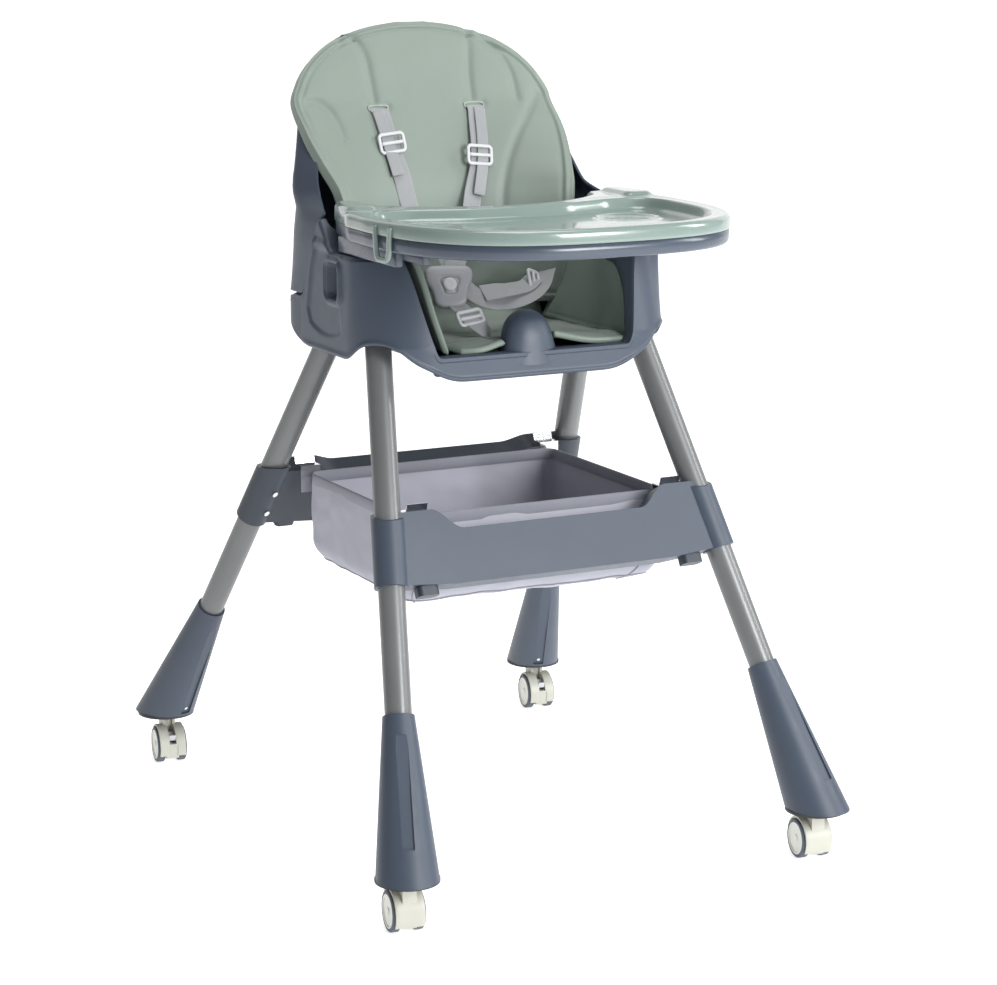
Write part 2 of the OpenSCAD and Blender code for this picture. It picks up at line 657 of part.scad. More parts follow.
// U-shaped section: half width w, front edge y0, middle y1, boxiness p
function bend(u, w, y0, y1, p, tuck) = let (t = 180 * u, f = pow(sin(t), p),
  k = tuck + (1 - tuck) * min(1, f * 1.5))
  [-w * k * sign(cos(t)) * pow(abs(cos(t)), p), y0 + (y1 - y0) * f];
function back_z(v) = seat_z + (wing_low + (421 - wing_low) * v) * back_rise / 428;
function wall_at(u, v, t) = let (z = back_z(v),
  q = bend(u, shell_w(z) - t, shell_front(z), shell_mid(z) - t, 0.4, shell_tuck(z)))
  [q[0], q[1], z];
// The liner starts above the seat's rear part
function liner_at(u, v, t) = let (z = back_z(liner_v + (1 - liner_v) * v),
  q = bend(u, shell_w(z) - wing_t / 2 - t, shell_front(z) + 0.5,
    pad_mid(z) + cushion_t + 5 + wing_t - t, 0.72, shell_tuck(z))) [q[0], q[1], z];
liner_v = 0.1;

module back_shell() {
  color(SLATE) difference() {
    union() {
      sheet(24, 16, function(u, v) wall_at(u, v, wing_t), function(u, v) wall_at(u, v, 0));
      sheet(24, 16, function(u, v) liner_at(u, v, wing_t), function(u, v) liner_at(u, v, 0));
    }
    // slots for the shoulder straps
    for (s = [-1, 1]) translate([s * slot_x - 15, 60, slot_z - 3]) cube([30, 200, 6]);
    for (s = [-1, 1]) translate([s * seat_half_w, pivot_y, pivot_z]) rotate([0, 90, 0])
      cylinder(r = pin_r + run, h = 80, center = true);
  }
}
slot_x = 70;
slot_z = seat_z + 319;

// ---------------------------------------------------------------- cushions
function pad_z(v) = seat_z + (86 + 342 * v) * back_rise / 428;
function pad_at(u, v, t) = let (z = pad_z(v), a = 2 * u - 1, c = max(0, (abs(a) - 0.45) / 0.55))
  [a * (pad_w(z) - 0.8 * (cushion_t - t) * c), pad_mid(z) - pad_wing(z) * c * c + t * (1 - 0.75 * c), z];
module back_cushion() {
  color(SAGE) difference() {
    sheet(24, 24, function(u, v) pad_at(u, v, 0), function(u, v) pad_at(u, v, cushion_t));
    for (s = [-1, 1]) translate([s * slot_x - 15, 60, slot_z - 9]) cube([30, 200, 13]);
  }
}
module seat_cushion() {
  low = pan_z + 1;
  flare = bucket_flare * (arm_z - 12 - low) / (arm_z - pan_z);
  edge = bucket_w - 3;
  color(SAGE) difference() {
    intersection() {
      translate([0, 14, 0]) rotate([90, 0, 0]) linear_extrude(14 + seat_front_y - 22) polygon([
        [-edge, low], [edge, low], [edge + flare, arm_z - 12],
        [edge + flare - cushion_t + 2, arm_z - 12], [edge - cushion_t, low + cushion_t],
        [-edge + cushion_t, low + cushion_t], [-edge - flare + cushion_t - 2, arm_z - 12],
        [-edge - flare, arm_z - 12]]);
      // the wings' front edges lean back with the seat's front
      rotate([90, 0, 90]) translate([0, 0, -300]) linear_extrude(600) polygon([[20, low - 1],
        [-seat_front_y + 22, low - 1], [-seat_front_y + 22, low + 40],
        [-seat_front_y + front_lean + 8, arm_z], [20, arm_z]]);
    }
    // notch for the crotch post
    translate([-post_w - 4, -seat_front_y - 1, pan_z - 5]) cube([2 * post_w + 8, 52, 200]);
  }
}

// ---------------------------------------------------------------- harness
web_t = 1.6;
web_w = 25;
buckle = [-66, -60, seat_z + 108];
function pad_front(x, z) = let (c = max(0, (abs(x) / pad_w(z) - 0.45) / 0.55))
  pad_mid(z) - pad_wing(z) * c * c;
module band(p, w, t) {
  for (i = [0:len(p) - 2]) strut(p[i], p[i + 1], w, t);
}
function shoulder_path(s) = concat([[s * slot_x, pad_front(slot_x, slot_z) + 8, slot_z - 3]],
  [for (k = [0:3]) let (z = slot_z - 4 - k * 40, x = slot_x - k * 4) [s * x, pad_front(x, z) - 6, z]],
  [[s * (slot_x - 18), pad_front(slot_x - 18, slot_z - 164) - 14, slot_z - 164],
    [buckle[0] + s * 8, buckle[1] + 10, buckle[2] + 14]]);
module shoulder_strap(s) {
  color(WEB) band(shoulder_path(s), web_w, web_t);
}
module waist_strap(s) {
  color(WEB) band([[s * 112, 6, pan_z + 40], [s * 98 + 0.2 * buckle[0], -34, pan_z + 34],
    [buckle[0] + s * 28, buckle[1] - 4, buckle[2] - 6]], web_t, web_w);
}
crotch_path = [[buckle[0] * 0.4, -112, pan_z + cushion_t + 2], [buckle[0] * 0.75, -102, pan_z + 34],
  [buckle[0], buckle[1] - 6, buckle[2] - 22.5]];
module crotch_strap() {
  color(WEB) band(crotch_path, web_w, web_t);
}
// A slider in front of the strap that runs from a to b: flat frame with a middle bar
module slider(a, b) {
  d = b - a;
  t = 5;
  translate(a) rotate([0, atan2(norm([d[0], d[1]]), d[2]), atan2(d[1], d[0])])
    translate([-(web_t + t) / 2 - 0.1, 0, norm(d) / 2]) difference() {
      cube([t, web_w + 9, 26], center = true);
      for (k = [-1, 1]) translate([0, 0, k * 6]) cube([t + 2, web_w + 1, 6], center = true);
    }
}
module strap_sliders() {
  color(CREAM) for (s = [-1, 1]) slider(shoulder_path(s)[1], shoulder_path(s)[2]);
}
module crotch_slider() {
  color(CREAM) slider(crotch_path[1], crotch_path[2]);
}
module harness_buckle() {
  color(WEB) difference() {
    translate(buckle) rotate([90, 0, 0]) linear_extrude(13) polygon(rounded_pts(44, 42, 7));
    translate(buckle) rotate([90, 0, 0]) translate([0, 2, 5]) cylinder(r = 9, h = 20);
  }
}
module buckle_button() {
  color(CREAM) translate(buckle) rotate([90, 0, 0]) translate([0, 2, 8])
    cylinder(r = 9 - gap / 2, h = 6.5);
}

// ---------------------------------------------------------------- tray
tray_top_z = seat_z + tray_rise;
tray_deck_z = tray_top_z - tray_rim_h;
tray_base_z = tray_deck_z - tray_base_h;
tray_mid_y = -146;
lobe_y = -8;
lobe_x = 207;
belly = 104;        // how far the child-side edge is cut back
// Plan outline, inset by k
function tray_plan(k) = let (W = tray_half_w - 2 - k, F = tray_front_y + tray_mid_y - k)
  concat(
    [for (i = [0:36]) let (t = 180 + 5 * i) [W * sign(cos(t)) * pow(abs(cos(t)), 0.72),
      tray_mid_y + F * sign(sin(t)) * pow(abs(sin(t)), 0.72)]],
    lobe(k), [for (i = [0:16]) let (x = 150 - 300 * i / 16)
      [x * (1 + k / 150), -belly - k + (belly - 40) * pow(abs(x) / 150, 2.4)]],
    mirrored(lobe(k)));
function lobe(k) = concat([[tray_half_w - 4 - k, -100]],
  arc([lobe_x - 20, lobe_y - 20], 20 - min(k, 18), 0, 90, 5),
  arc([168, lobe_y - 14], 14 - min(k, 12), 90, 150, 4));

module tray_base() {
  color(SLATE) difference() {
    union() {
      translate([0, 0, tray_base_z]) linear_extrude(tray_base_h - 0.3) polygon(tray_plan(1.5));
      // runners that slide on the armrest rails
      for (s = [-1, 1]) translate([s * rail_x - runner_w / 2, runner_y0, arm_z + gap])
        cube([runner_w, runner_y1 - runner_y0, tray_base_z - arm_z + 1 - gap]);
    }
    // hollow underneath
    translate([0, 0, tray_base_z - 1]) linear_extrude(tray_base_h - 2.5) difference() {
      polygon(tray_plan(5));
      for (s = [-1, 1]) translate([s * rail_x - runner_w / 2, runner_y0])
        square([runner_w, runner_y1 - runner_y0]);
    }
    // rail channels, open behind
    for (s = [-1, 1]) translate([s * rail_x - rail_w / 2 - gap, runner_y0 + 6, arm_z - 1])
      cube([rail_w + 2 * gap, 400, rail_h + 1 + gap]);
  }
}
runner_w = 46;
runner_y0 = -216;
runner_y1 = -48;
recess_in = 24;
cup = [118, -190];
cup_r = 40;
module tray_top() {
  floor_z = tray_deck_z + 4;
  color(SAGE) difference() {
    union() {
      translate([0, 0, tray_deck_z]) linear_extrude(tray_rim_h) polygon(tray_plan(0));
      // raised elbow lobes
      for (s = [-1, 1]) on_side(s) translate([0, 0, tray_deck_z])
        linear_extrude(tray_rim_h + 6) polygon(concat([[tray_half_w - 13, -110]],
          arc([lobe_x - 21, lobe_y - 21], 19, 0, 90, 5), arc([170, lobe_y - 15], 12, 90, 150, 4),
          [[162, -60], [185, -110]]));
      // side latches that hang over the base
      for (s = [-1, 1]) on_side(s) translate([tray_half_w - 2, -262, tray_deck_z - 27])
        rotate([0, 0, 8]) cube([3, 34, 36]);
    }
    translate([0, 0, floor_z]) linear_extrude(60) polygon(tray_well());
    translate([cup[0], cup[1], tray_deck_z + 2]) cylinder(r = cup_r - 4, h = 60);
    // latch windows
    for (s = [-1, 1]) on_side(s) translate([tray_half_w - 6, -262, tray_deck_z - 20])
      rotate([0, 0, 8]) translate([0, 9, 0]) cube([12, 16, 24]);
  }
}
function tray_well() = let (W = tray_half_w - recess_in, F = tray_front_y + tray_mid_y - recess_in)
  concat(
    [for (i = [0:24]) let (t = 180 + 7.5 * i) [W * sign(cos(t)) * pow(abs(cos(t)), 0.68),
      tray_mid_y + F * sign(sin(t)) * pow(abs(sin(t)), 0.68)]],
    [[W - 6, -125], [W - 26, -98], [140, -98], [70, -belly - 18], [-70, -belly - 18],
      [-140, -98], [-W + 26, -98], [-W + 6, -125]]);

// ---------------------------------------------------------------- basket
basket_top_z = sleeve_top_z - 8;
cloth = 2;
module basket() {
  w = 2 * basket_half_w;
  d = basket_front_y + basket_rear_y;
  mid = (basket_rear_y - basket_front_y) / 2;
  color(LILAC) translate([0, mid, basket_top_z - basket_depth]) difference() {
    linear_extrude(basket_depth) polygon(rounded_pts(w, d, 18));
    translate([0, 0, cloth]) linear_extrude(basket_depth)
      polygon(rounded_pts(w - 2 * cloth, d - 2 * cloth, 16));
  }
}
clip_w = 28;
module basket_clips() {
  color(STEEL) for (e = [-1, 1], s = [-1, 1]) {
    edge = e < 0 ? basket_front_y : basket_rear_y;
    translate([s * (basket_half_w - 4) - clip_w / 2, 0, 0]) mirror([0, e < 0 ? 0 : 1, 0])
      rotate([90, 0, 90]) linear_extrude(clip_w) polygon([
        [-edge - 1.4, basket_top_z - 26], [-edge - 0.3, basket_top_z - 26],
        [-edge - 0.3, sleeve_top_z + 1.6], [-edge - 18, sleeve_top_z + 1.6],
        [-edge - 22, sleeve_top_z + 13], [-edge - 23.2, sleeve_top_z + 13],
        [-edge - 19, sleeve_top_z + 0.4], [-edge - 1.4, sleeve_top_z + 0.4]]);
  }
}

seat_shell();
back_shell();
recline_pins();
side_button(-1);  // side_button_left
side_button(1);  // side_button_right
seat_cushion();
back_cushion();
shoulder_strap(-1);  // shoulder_strap_left
shoulder_strap(1);  // shoulder_strap_right
waist_strap(-1);  // waist_strap_left
waist_strap(1);  // waist_strap_right
crotch_strap();
crotch_slider();
strap_sliders();
harness_buckle();
buckle_button();
tray_base();
tray_top();
upper_tube(-1, -1);  // upper_tube_fl
upper_tube(-1, 1);  // upper_tube_fr
upper_tube(1, -1);  // upper_tube_rl
upper_tube(1, 1);  // upper_tube_rr
lower_tube(-1, -1);  // lower_tube_fl
lower_tube(-1, 1);  // lower_tube_fr
lower_tube(1, -1);  // lower_tube_rl
lower_tube(1, 1);  // lower_tube_rr
crossbar(-1);  // front_crossbar
crossbar(1);  // rear_crossbar
crossbar_plugs();
frame_screws();
foot_shell(-1, -1);  // foot_shell_fl
foot_shell(-1, 1);  // foot_shell_fr
foot_shell(1, -1);  // foot_shell_rl
foot_shell(1, 1);  // foot_shell_rr
foot_base(-1, -1);  // foot_base_fl
foot_base(-1, 1);  // foot_base_fr
foot_base(1, -1);  // foot_base_rl
foot_base(1, 1);  // foot_base_rr
basket();
basket_clips();
caster_hood(-1, -1);  // caster_hood_fl
caster_hood(-1, 1);  // caster_hood_fr
caster_hood(1, -1);  // caster_hood_rl
caster_hood(1, 1);  // caster_hood_rr
axle(-1, -1);  // axle_fl
axle(-1, 1);  // axle_fr
axle(1, -1);  // axle_rl
axle(1, 1);  // axle_rr
wheel_hubs(-1, -1);  // wheel_hubs_fl
wheel_hubs(-1, 1);  // wheel_hubs_fr
wheel_hubs(1, -1);  // wheel_hubs_rl
wheel_hubs(1, 1);  // wheel_hubs_rr
tyres(-1, -1);  // tyres_fl
tyres(-1, 1);  // tyres_fr
tyres(1, -1);  // tyres_rl
tyres(1, 1);  // tyres_rr
brake_lever(-1, -1);  // brake_lever_fl
brake_lever(-1, 1);  // brake_lever_fr
brake_lever(1, -1);  // brake_lever_rl
brake_lever(1, 1);  // brake_lever_rr
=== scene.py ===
import json
import math

import bpy
import numpy as np
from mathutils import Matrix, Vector, noise


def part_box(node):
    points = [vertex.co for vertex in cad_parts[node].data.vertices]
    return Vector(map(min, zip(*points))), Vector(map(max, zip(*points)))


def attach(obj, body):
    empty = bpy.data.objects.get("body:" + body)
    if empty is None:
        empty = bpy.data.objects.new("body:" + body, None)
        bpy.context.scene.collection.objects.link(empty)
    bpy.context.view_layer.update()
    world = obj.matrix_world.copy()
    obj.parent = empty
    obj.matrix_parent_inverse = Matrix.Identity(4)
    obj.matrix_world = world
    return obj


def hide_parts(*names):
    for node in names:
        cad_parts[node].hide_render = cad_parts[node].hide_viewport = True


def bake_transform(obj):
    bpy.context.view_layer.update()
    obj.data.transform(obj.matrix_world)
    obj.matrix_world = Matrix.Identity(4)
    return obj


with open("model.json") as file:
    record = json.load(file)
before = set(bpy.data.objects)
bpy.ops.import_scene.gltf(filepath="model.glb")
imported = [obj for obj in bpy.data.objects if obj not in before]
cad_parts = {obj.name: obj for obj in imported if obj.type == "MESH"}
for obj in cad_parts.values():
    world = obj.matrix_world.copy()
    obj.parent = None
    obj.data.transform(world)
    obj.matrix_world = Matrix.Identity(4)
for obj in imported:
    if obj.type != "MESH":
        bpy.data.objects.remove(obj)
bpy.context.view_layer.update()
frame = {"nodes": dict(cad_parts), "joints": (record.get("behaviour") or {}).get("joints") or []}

MM = 0.001
NODES = frame["nodes"]


def box_mm(node):
    """A CAD node's lowest and highest corners in millimetres."""
    low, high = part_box(node)
    return np.array(low) / MM, np.array(high) / MM


SHELL_LO, SHELL_HI = box_mm("seat_shell")
TRAY_HI = box_mm("tray_base")[1]
COVER_HI = box_mm("tray_top")[1]
BASKET_LO, BASKET_HI = box_mm("basket")
Z0 = SHELL_LO[2] - 6.0          # datum of the seat's heights
HALF_W = SHELL_HI[0] - 1.5      # half width of the seat
ARM_Z = Z0 + 158.0

# ------------------------------------------------------------------ camera
camera_data = bpy.data.cameras.new("camera")
camera = bpy.data.objects.new("camera", camera_data)
bpy.context.scene.collection.objects.link(camera)
bpy.context.scene.camera = camera
camera.location = (-1.601705, -3.186388, 1.19217)
aim = Vector((0.0, -0.0692, 0.4425)) - camera.location
camera.rotation_euler = aim.to_track_quat("-Z", "Y").to_euler()
camera_data.sensor_width = 36.0
camera_data.sensor_fit = "HORIZONTAL"
camera_data.lens = 100.2


# ------------------------------------------------------------------ numbers
def table(points):
    """A smooth function through points (x, value) that doesn't overshoot."""
    xs = np.array([p[0] for p in points], float)
    ys = np.array([p[1] for p in points], float)
    h = np.diff(xs)
    d = np.diff(ys) / h
    m = np.zeros_like(ys)
    m[0], m[-1] = d[0], d[-1]
    for i in range(1, len(xs) - 1):
        if d[i - 1] * d[i] > 0:
            a, b = 2 * h[i] + h[i - 1], h[i] + 2 * h[i - 1]
            m[i] = (a + b) / (a / d[i - 1] + b / d[i])

    def value(x):
        x = np.clip(np.asarray(x, float), xs[0], xs[-1])
        i = np.clip(np.searchsorted(xs, x, side="right") - 1, 0, len(xs) - 2)
        t = (x - xs[i]) / h[i]
        return (
            (2 * t**3 - 3 * t**2 + 1) * ys[i]
            + (t**3 - 2 * t**2 + t) * h[i] * m[i]
            + (3 * t**2 - 2 * t**3) * ys[i + 1]
            + (t**3 - t**2) * h[i] * m[i + 1]
        )

    return value


def smoothstep(a, b, x):
    t = np.clip((x - a) / (b - a), 0, 1)
    return t * t * (3 - 2 * t)


def resample(points, n, closed=False):
    """n points evenly spaced along a polyline."""
    p = np.array(points, float)
    if closed:
        p = np.vstack([p, p[:1]])
    s = np.r_[0, np.cumsum(np.linalg.norm(np.diff(p, axis=0), axis=1))]
    t = np.linspace(0, s[-1], n + 1)[:-1] if closed else np.linspace(0, s[-1], n)
    return np.stack([np.interp(t, s, p[:, k]) for k in range(p.shape[1])], axis=1)


def spline(points, n):
    """n points along a smooth curve through the given ones."""
    p = np.array(points, float)
    s = np.r_[0, np.cumsum(np.linalg.norm(np.diff(p, axis=0), axis=1))]
    m = np.gradient(p, s, axis=0)
    t = np.linspace(0, s[-1], max(8 * len(p), 4 * n))
    i = np.clip(np.searchsorted(s, t, side="right") - 1, 0, len(s) - 2)
    h = (s[i + 1] - s[i])[:, None]
    u = ((t - s[i]) / (s[i + 1] - s[i]))[:, None]
    q = (
        (2 * u**3 - 3 * u**2 + 1) * p[i]
        + (u**3 - 2 * u**2 + u) * h * m[i]
        + (3 * u**2 - 2 * u**3) * p[i + 1]
        + (u**3 - u**2) * h * m[i + 1]
    )
    return resample(q, n)


def line_distance(p, line):
    """Distance of each point in p from a polyline, both in 2-D."""
    best = np.full(len(p), 1e9)
    for a, b in zip(line[:-1], line[1:]):
        d = b - a
        t = np.clip(((p - a) @ d) / max(d @ d, 1e-9), 0, 1)
        best = np.minimum(best, np.linalg.norm(p - a - t[:, None] * d, axis=1))
    return best


def rounded_box(x, y, w, h, r):
    """Signed distance from a rounded rectangle, negative inside."""
    qx, qy = np.abs(x) - w / 2 + r, np.abs(y) - h / 2 + r
    return np.hypot(np.maximum(qx, 0), np.maximum(qy, 0)) + np.minimum(np.maximum(qx, qy), 0) - r


# ------------------------------------------------------------------ meshes
def add(name, verts_mm, faces, uv=None):
    me = bpy.data.meshes.new(name)
    me.from_pydata((np.asarray(verts_mm) * MM).tolist(), [], [list(map(int, f)) for f in faces])
    me.update()
    me.polygons.foreach_set("use_smooth", [True] * len(me.polygons))
    if uv is not None:
        layer = me.uv_layers.new(name="cloth")
        loop = np.empty(len(me.loops), int)
        me.loops.foreach_get("vertex_index", loop)
        layer.data.foreach_set("uv", np.asarray(uv, float)[loop].ravel())
    obj = bpy.data.objects.new(name, me)
    bpy.context.scene.collection.objects.link(obj)
    return obj


def grid_faces(nv, nu, closed_u=False, closed_v=False, flip=False):
    cols = nu if closed_u else nu - 1
    rows = nv if closed_v else nv - 1
    j, i = np.meshgrid(np.arange(rows), np.arange(cols), indexing="ij")
    a = j * nu + i
    b = j * nu + (i + 1) % nu
    c = ((j + 1) % nv) * nu + (i + 1) % nu
    d = ((j + 1) % nv) * nu + i
    q = np.stack([a, b, c, d], axis=-1).reshape(-1, 4)
    return q[:, ::-1] if flip else q


def grid(name, p, closed_u=False, closed_v=False, flip=False, uv=None):
    """A sheet of quads from p[row, column] = (x, y, z) in millimetres."""
    nv, nu = p.shape[:2]
    return add(name, p.reshape(-1, 3), grid_faces(nv, nu, closed_u, closed_v, flip), uv)


def sweep(name, path, profile, up=None, closed=False, closed_profile=True, uv=None, cap=True):
    """A profile [(across, out)] carried along a path, both in millimetres."""
    p = np.array(path, float)
    n = len(p)
    tangent = np.gradient(p, axis=0)
    if closed:
        tangent = np.roll(p, -1, axis=0) - np.roll(p, 1, axis=0)
    tangent /= np.maximum(np.linalg.norm(tangent, axis=1, keepdims=True), 1e-9)
    if up is None:
        normal = np.zeros_like(p)
        ref = np.array([0.3, 0.2, 1.0])
        normal[0] = ref - tangent[0] * (ref @ tangent[0])
        for i in range(1, n):
            normal[i] = normal[i - 1] - tangent[i] * (normal[i - 1] @ tangent[i])
    else:
        normal = np.broadcast_to(np.asarray(up, float), p.shape).copy()
        normal -= tangent * np.sum(normal * tangent, axis=1, keepdims=True)
    normal /= np.maximum(np.linalg.norm(normal, axis=1, keepdims=True), 1e-9)
    side = np.cross(tangent, normal)
    prof = np.array(profile, float)
    pts = p[:, None] + side[:, None] * prof[None, :, :1] + normal[:, None] * prof[None, :, 1:]
    faces = grid_faces(n, len(prof), closed_u=closed_profile, closed_v=closed).tolist()
    if cap and not closed and closed_profile:
        k = len(prof)
        faces += [list(range(k))[::-1], list(range((n - 1) * k, n * k))]
    return add(name, pts.reshape(-1, 3), faces, uv)


def circle(r, n=12):
    a = np.linspace(0, 2 * math.pi, n, endpoint=False)
    return np.stack([r * np.cos(a), r * np.sin(a)], axis=1)


def mod(obj, kind, **values):
    m = obj.modifiers.new(kind.lower(), kind)
    for k, v in values.items():
        setattr(m, k, v)
    return m


def join(name, objects):
    """One object from several meshes that share a material."""
    deps = bpy.context.evaluated_depsgraph_get()
    verts, faces, base = [], [], 0
    for o in objects:
        me = bpy.data.meshes.new_from_object(o.evaluated_get(deps))
        verts += [tuple(v.co / MM) for v in me.vertices]
        faces += [[i + base for i in f.vertices] for f in me.polygons]
        base = len(verts)
        bpy.data.objects.remove(o)
    return add(name, verts, faces)


# ------------------------------------------------------------------ materials
def material(name, colour, rough, metallic=0.0, coat=0.0, coat_rough=0.1, sheen=0.0, spec=0.5):
    m = bpy.data.materials.new(name)
    m.use_nodes = True
    nt = m.node_tree
    bsdf = nt.nodes["Principled BSDF"]
    bsdf.inputs["Base Color"].default_value = (*colour, 1)
    bsdf.inputs["Roughness"].default_value = rough
    bsdf.inputs["Metallic"].default_value = metallic
    bsdf.inputs["Coat Weight"].default_value = coat
    bsdf.inputs["Coat Roughness"].default_value = coat_rough
    bsdf.inputs["Sheen Weight"].default_value = sheen
    bsdf.inputs["Specular IOR Level"].default_value = spec
    return m, nt, bsdf


def coords(nt, scale, kind="Object"):
    tc = nt.nodes.new("ShaderNodeTexCoord")
    mp = nt.nodes.new("ShaderNodeMapping")
    mp.inputs["Scale"].default_value = scale if hasattr(scale, "__len__") else (scale,) * 3
    nt.links.new(tc.outputs[kind], mp.inputs["Vector"])
    return mp.outputs["Vector"]


def noise_node(nt, vec, scale, detail=3.0, rough=0.5):
    n = nt.nodes.new("ShaderNodeTexNoise")
    n.inputs["Scale"].default_value = scale
    n.inputs["Detail"].default_value = detail
    n.inputs["Roughness"].default_value = rough
    nt.links.new(vec, n.inputs["Vector"])
    return n.outputs["Fac"]


def ramp(nt, fac, a, b, lo=0.3, hi=0.7):
    r = nt.nodes.new("ShaderNodeValToRGB")
    r.color_ramp.elements[0].position = lo
    r.color_ramp.elements[1].position = hi
    r.color_ramp.elements[0].color = (*a, 1)
    r.color_ramp.elements[1].color = (*b, 1)
    nt.links.new(fac, r.inputs["Fac"])
    return r.outputs["Color"]


def grey(nt, fac, lo, hi):
    m = nt.nodes.new("ShaderNodeMapRange")
    m.inputs["To Min"].default_value = lo
    m.inputs["To Max"].default_value = hi
    nt.links.new(fac, m.inputs["Value"])
    return m.outputs["Result"]


def math_node(nt, op, a, b):
    m = nt.nodes.new("ShaderNodeMath")
    m.operation = op
    for socket, v in zip(m.inputs, (a, b)):
        if hasattr(v, "is_linked"):
            nt.links.new(v, socket)
        else:
            socket.default_value = v
    return m.outputs["Value"]


def bump(nt, bsdf, height, distance, strength=1.0):
    b = nt.nodes.new("ShaderNodeBump")
    b.inputs["Distance"].default_value = distance
    b.inputs["Strength"].default_value = strength
    nt.links.new(height, b.inputs["Height"])
    nt.links.new(b.outputs["Normal"], bsdf.inputs["Normal"])


def tones(colour, k):
    return tuple(c * (1 - k) for c in colour), tuple(min(1, c * (1 + k)) for c in colour)


def plastic(name, colour, rough, grain=1400.0, depth=0.00012, vary=0.05, coat=0.0, coat_rough=0.1):
    """Moulded plastic: fine spark-eroded grain, slight unevenness of tone and gloss."""
    m, nt, bsdf = material(name, colour, rough, coat=coat, coat_rough=coat_rough)
    v = coords(nt, 1.0)
    cloud = noise_node(nt, v, 9.0, 4.0)
    nt.links.new(ramp(nt, cloud, *tones(colour, vary)), bsdf.inputs["Base Color"])
    nt.links.new(grey(nt, noise_node(nt, v, 60.0, 5.0), rough - 0.05, rough + 0.07), bsdf.inputs["Roughness"])
    bump(nt, bsdf, noise_node(nt, v, grain, 2.0, 0.6), depth)
    return m


def leather(name, colour, rough=0.5, seed=0.0):
    """Coated cloth: small pebbled cells with fine creases between them."""
    m, nt, bsdf = material(name, colour, rough, sheen=0.12, spec=0.45)
    v = coords(nt, 1.0)
    cells = nt.nodes.new("ShaderNodeTexVoronoi")
    cells.feature = "DISTANCE_TO_EDGE"
    cells.inputs["Scale"].default_value = 620.0
    nt.links.new(v, cells.inputs["Vector"])
    edge = grey(nt, cells.outputs["Distance"], 0.0, 1.6)
    fine = noise_node(nt, v, 1900.0, 3.0)
    height = math_node(nt, "ADD", math_node(nt, "MINIMUM", edge, 0.5), math_node(nt, "MULTIPLY", fine, 0.5))
    cloud = noise_node(nt, v, 7.0, 4.0)
    mixed = math_node(nt, "ADD", math_node(nt, "MULTIPLY", cloud, 0.75), math_node(nt, "MULTIPLY", edge, 0.2))
    nt.links.new(ramp(nt, mixed, *tones(colour, 0.05)), bsdf.inputs["Base Color"])
    nt.links.new(grey(nt, fine, rough - 0.08, rough + 0.1), bsdf.inputs["Roughness"])
    bump(nt, bsdf, height, 0.00016, 0.8)
    return m


def weave(name, colour, pitch, rough=0.85, depth=0.0002, dark=0.12, sheen=0.25, ribs=0.5):
    """Plain weave over the piece's own cloth coordinates, in metres: warp and weft pass over each other."""
    m, nt, bsdf = material(name, colour, rough, sheen=sheen, spec=0.25)
    uv = nt.nodes.new("ShaderNodeUVMap")
    uv.uv_map = "cloth"
    waves = []
    for axis in ("X", "Y"):
        w = nt.nodes.new("ShaderNodeTexWave")
        w.wave_type = "BANDS"
        w.bands_direction = axis
        w.inputs["Scale"].default_value = 0.314159 / pitch
        w.inputs["Distortion"].default_value = 0.25
        w.inputs["Detail"].default_value = 1.0
        nt.links.new(uv.outputs["UV"], w.inputs["Vector"])
        waves.append(w.outputs["Fac"])
    threads = math_node(nt, "ADD", math_node(nt, "MULTIPLY", waves[0], 1 - ribs),
        math_node(nt, "MULTIPLY", waves[1], ribs))
    cloud = noise_node(nt, coords(nt, 1.0), 14.0, 5.0)
    tone = math_node(nt, "ADD", math_node(nt, "MULTIPLY", threads, 0.6),
        math_node(nt, "MULTIPLY", cloud, 0.4))
    nt.links.new(ramp(nt, tone, *tones(colour, dark), 0.2, 0.8), bsdf.inputs["Base Color"])
    nt.links.new(grey(nt, cloud, rough - 0.06, rough + 0.08), bsdf.inputs["Roughness"])
    bump(nt, bsdf, threads, depth, 0.8)
    return m


def metal(name, colour, rough, metallic, flake=900.0, coat=0.0):
    m, nt, bsdf = material(name, colour, rough, metallic=metallic, coat=coat)
    v = coords(nt, 1.0)
    nt.links.new(ramp(nt, noise_node(nt, v, 12.0, 4.0), *tones(colour, 0.05)), bsdf.inputs["Base Color"])
    nt.links.new(grey(nt, noise_node(nt, v, 240.0, 5.0), rough - 0.05, rough + 0.08),
        bsdf.inputs["Roughness"])
    bump(nt, bsdf, noise_node(nt, v, flake, 2.0), 0.00005, 0.5)
    return m


SLATE = plastic("slate_shell", (0.048, 0.064, 0.092), 0.42)
# darker copy of the slate shell: painted shade for parts that sit in recesses or in shadow
SLATE_SHADED = plastic("slate_painted_shade", (0.026, 0.035, 0.050), 0.45)
SLATE_GLOSS = plastic("slate_band", (0.048, 0.064, 0.092), 0.28, depth=0.00005, coat=0.3)
SAGE_PAD = leather("sage_pad", (0.195, 0.240, 0.208))
SAGE_EDGE = leather("sage_edge", (0.330, 0.395, 0.345))
# darker copy of the pad's sage: painted shade along the bottom of the seam grooves
SEAM_SHADE = plastic("seam_crease_shade", (0.105, 0.132, 0.112), 0.8)
SAGE_TRAY = plastic("sage_tray", (0.190, 0.250, 0.230), 0.20, grain=500.0, depth=0.00003, vary=0.02,
                    coat=0.7, coat_rough=0.06)
TUBE = metal("tube_paint", (0.150, 0.156, 0.158), 0.36, 0.2, coat=0.2)
CHROME = metal("bright_plate", (0.72, 0.72, 0.74), 0.16, 1.0)
CREAM = plastic("cream_plastic", (0.47, 0.47, 0.41), 0.38)
WHITE = plastic("white_plastic", (0.52, 0.53, 0.55), 0.34)
BUCKLE = plastic("buckle_plastic", (0.30, 0.31, 0.33), 0.36)
BLACK = plastic("base_plastic", (0.020, 0.021, 0.024), 0.5)
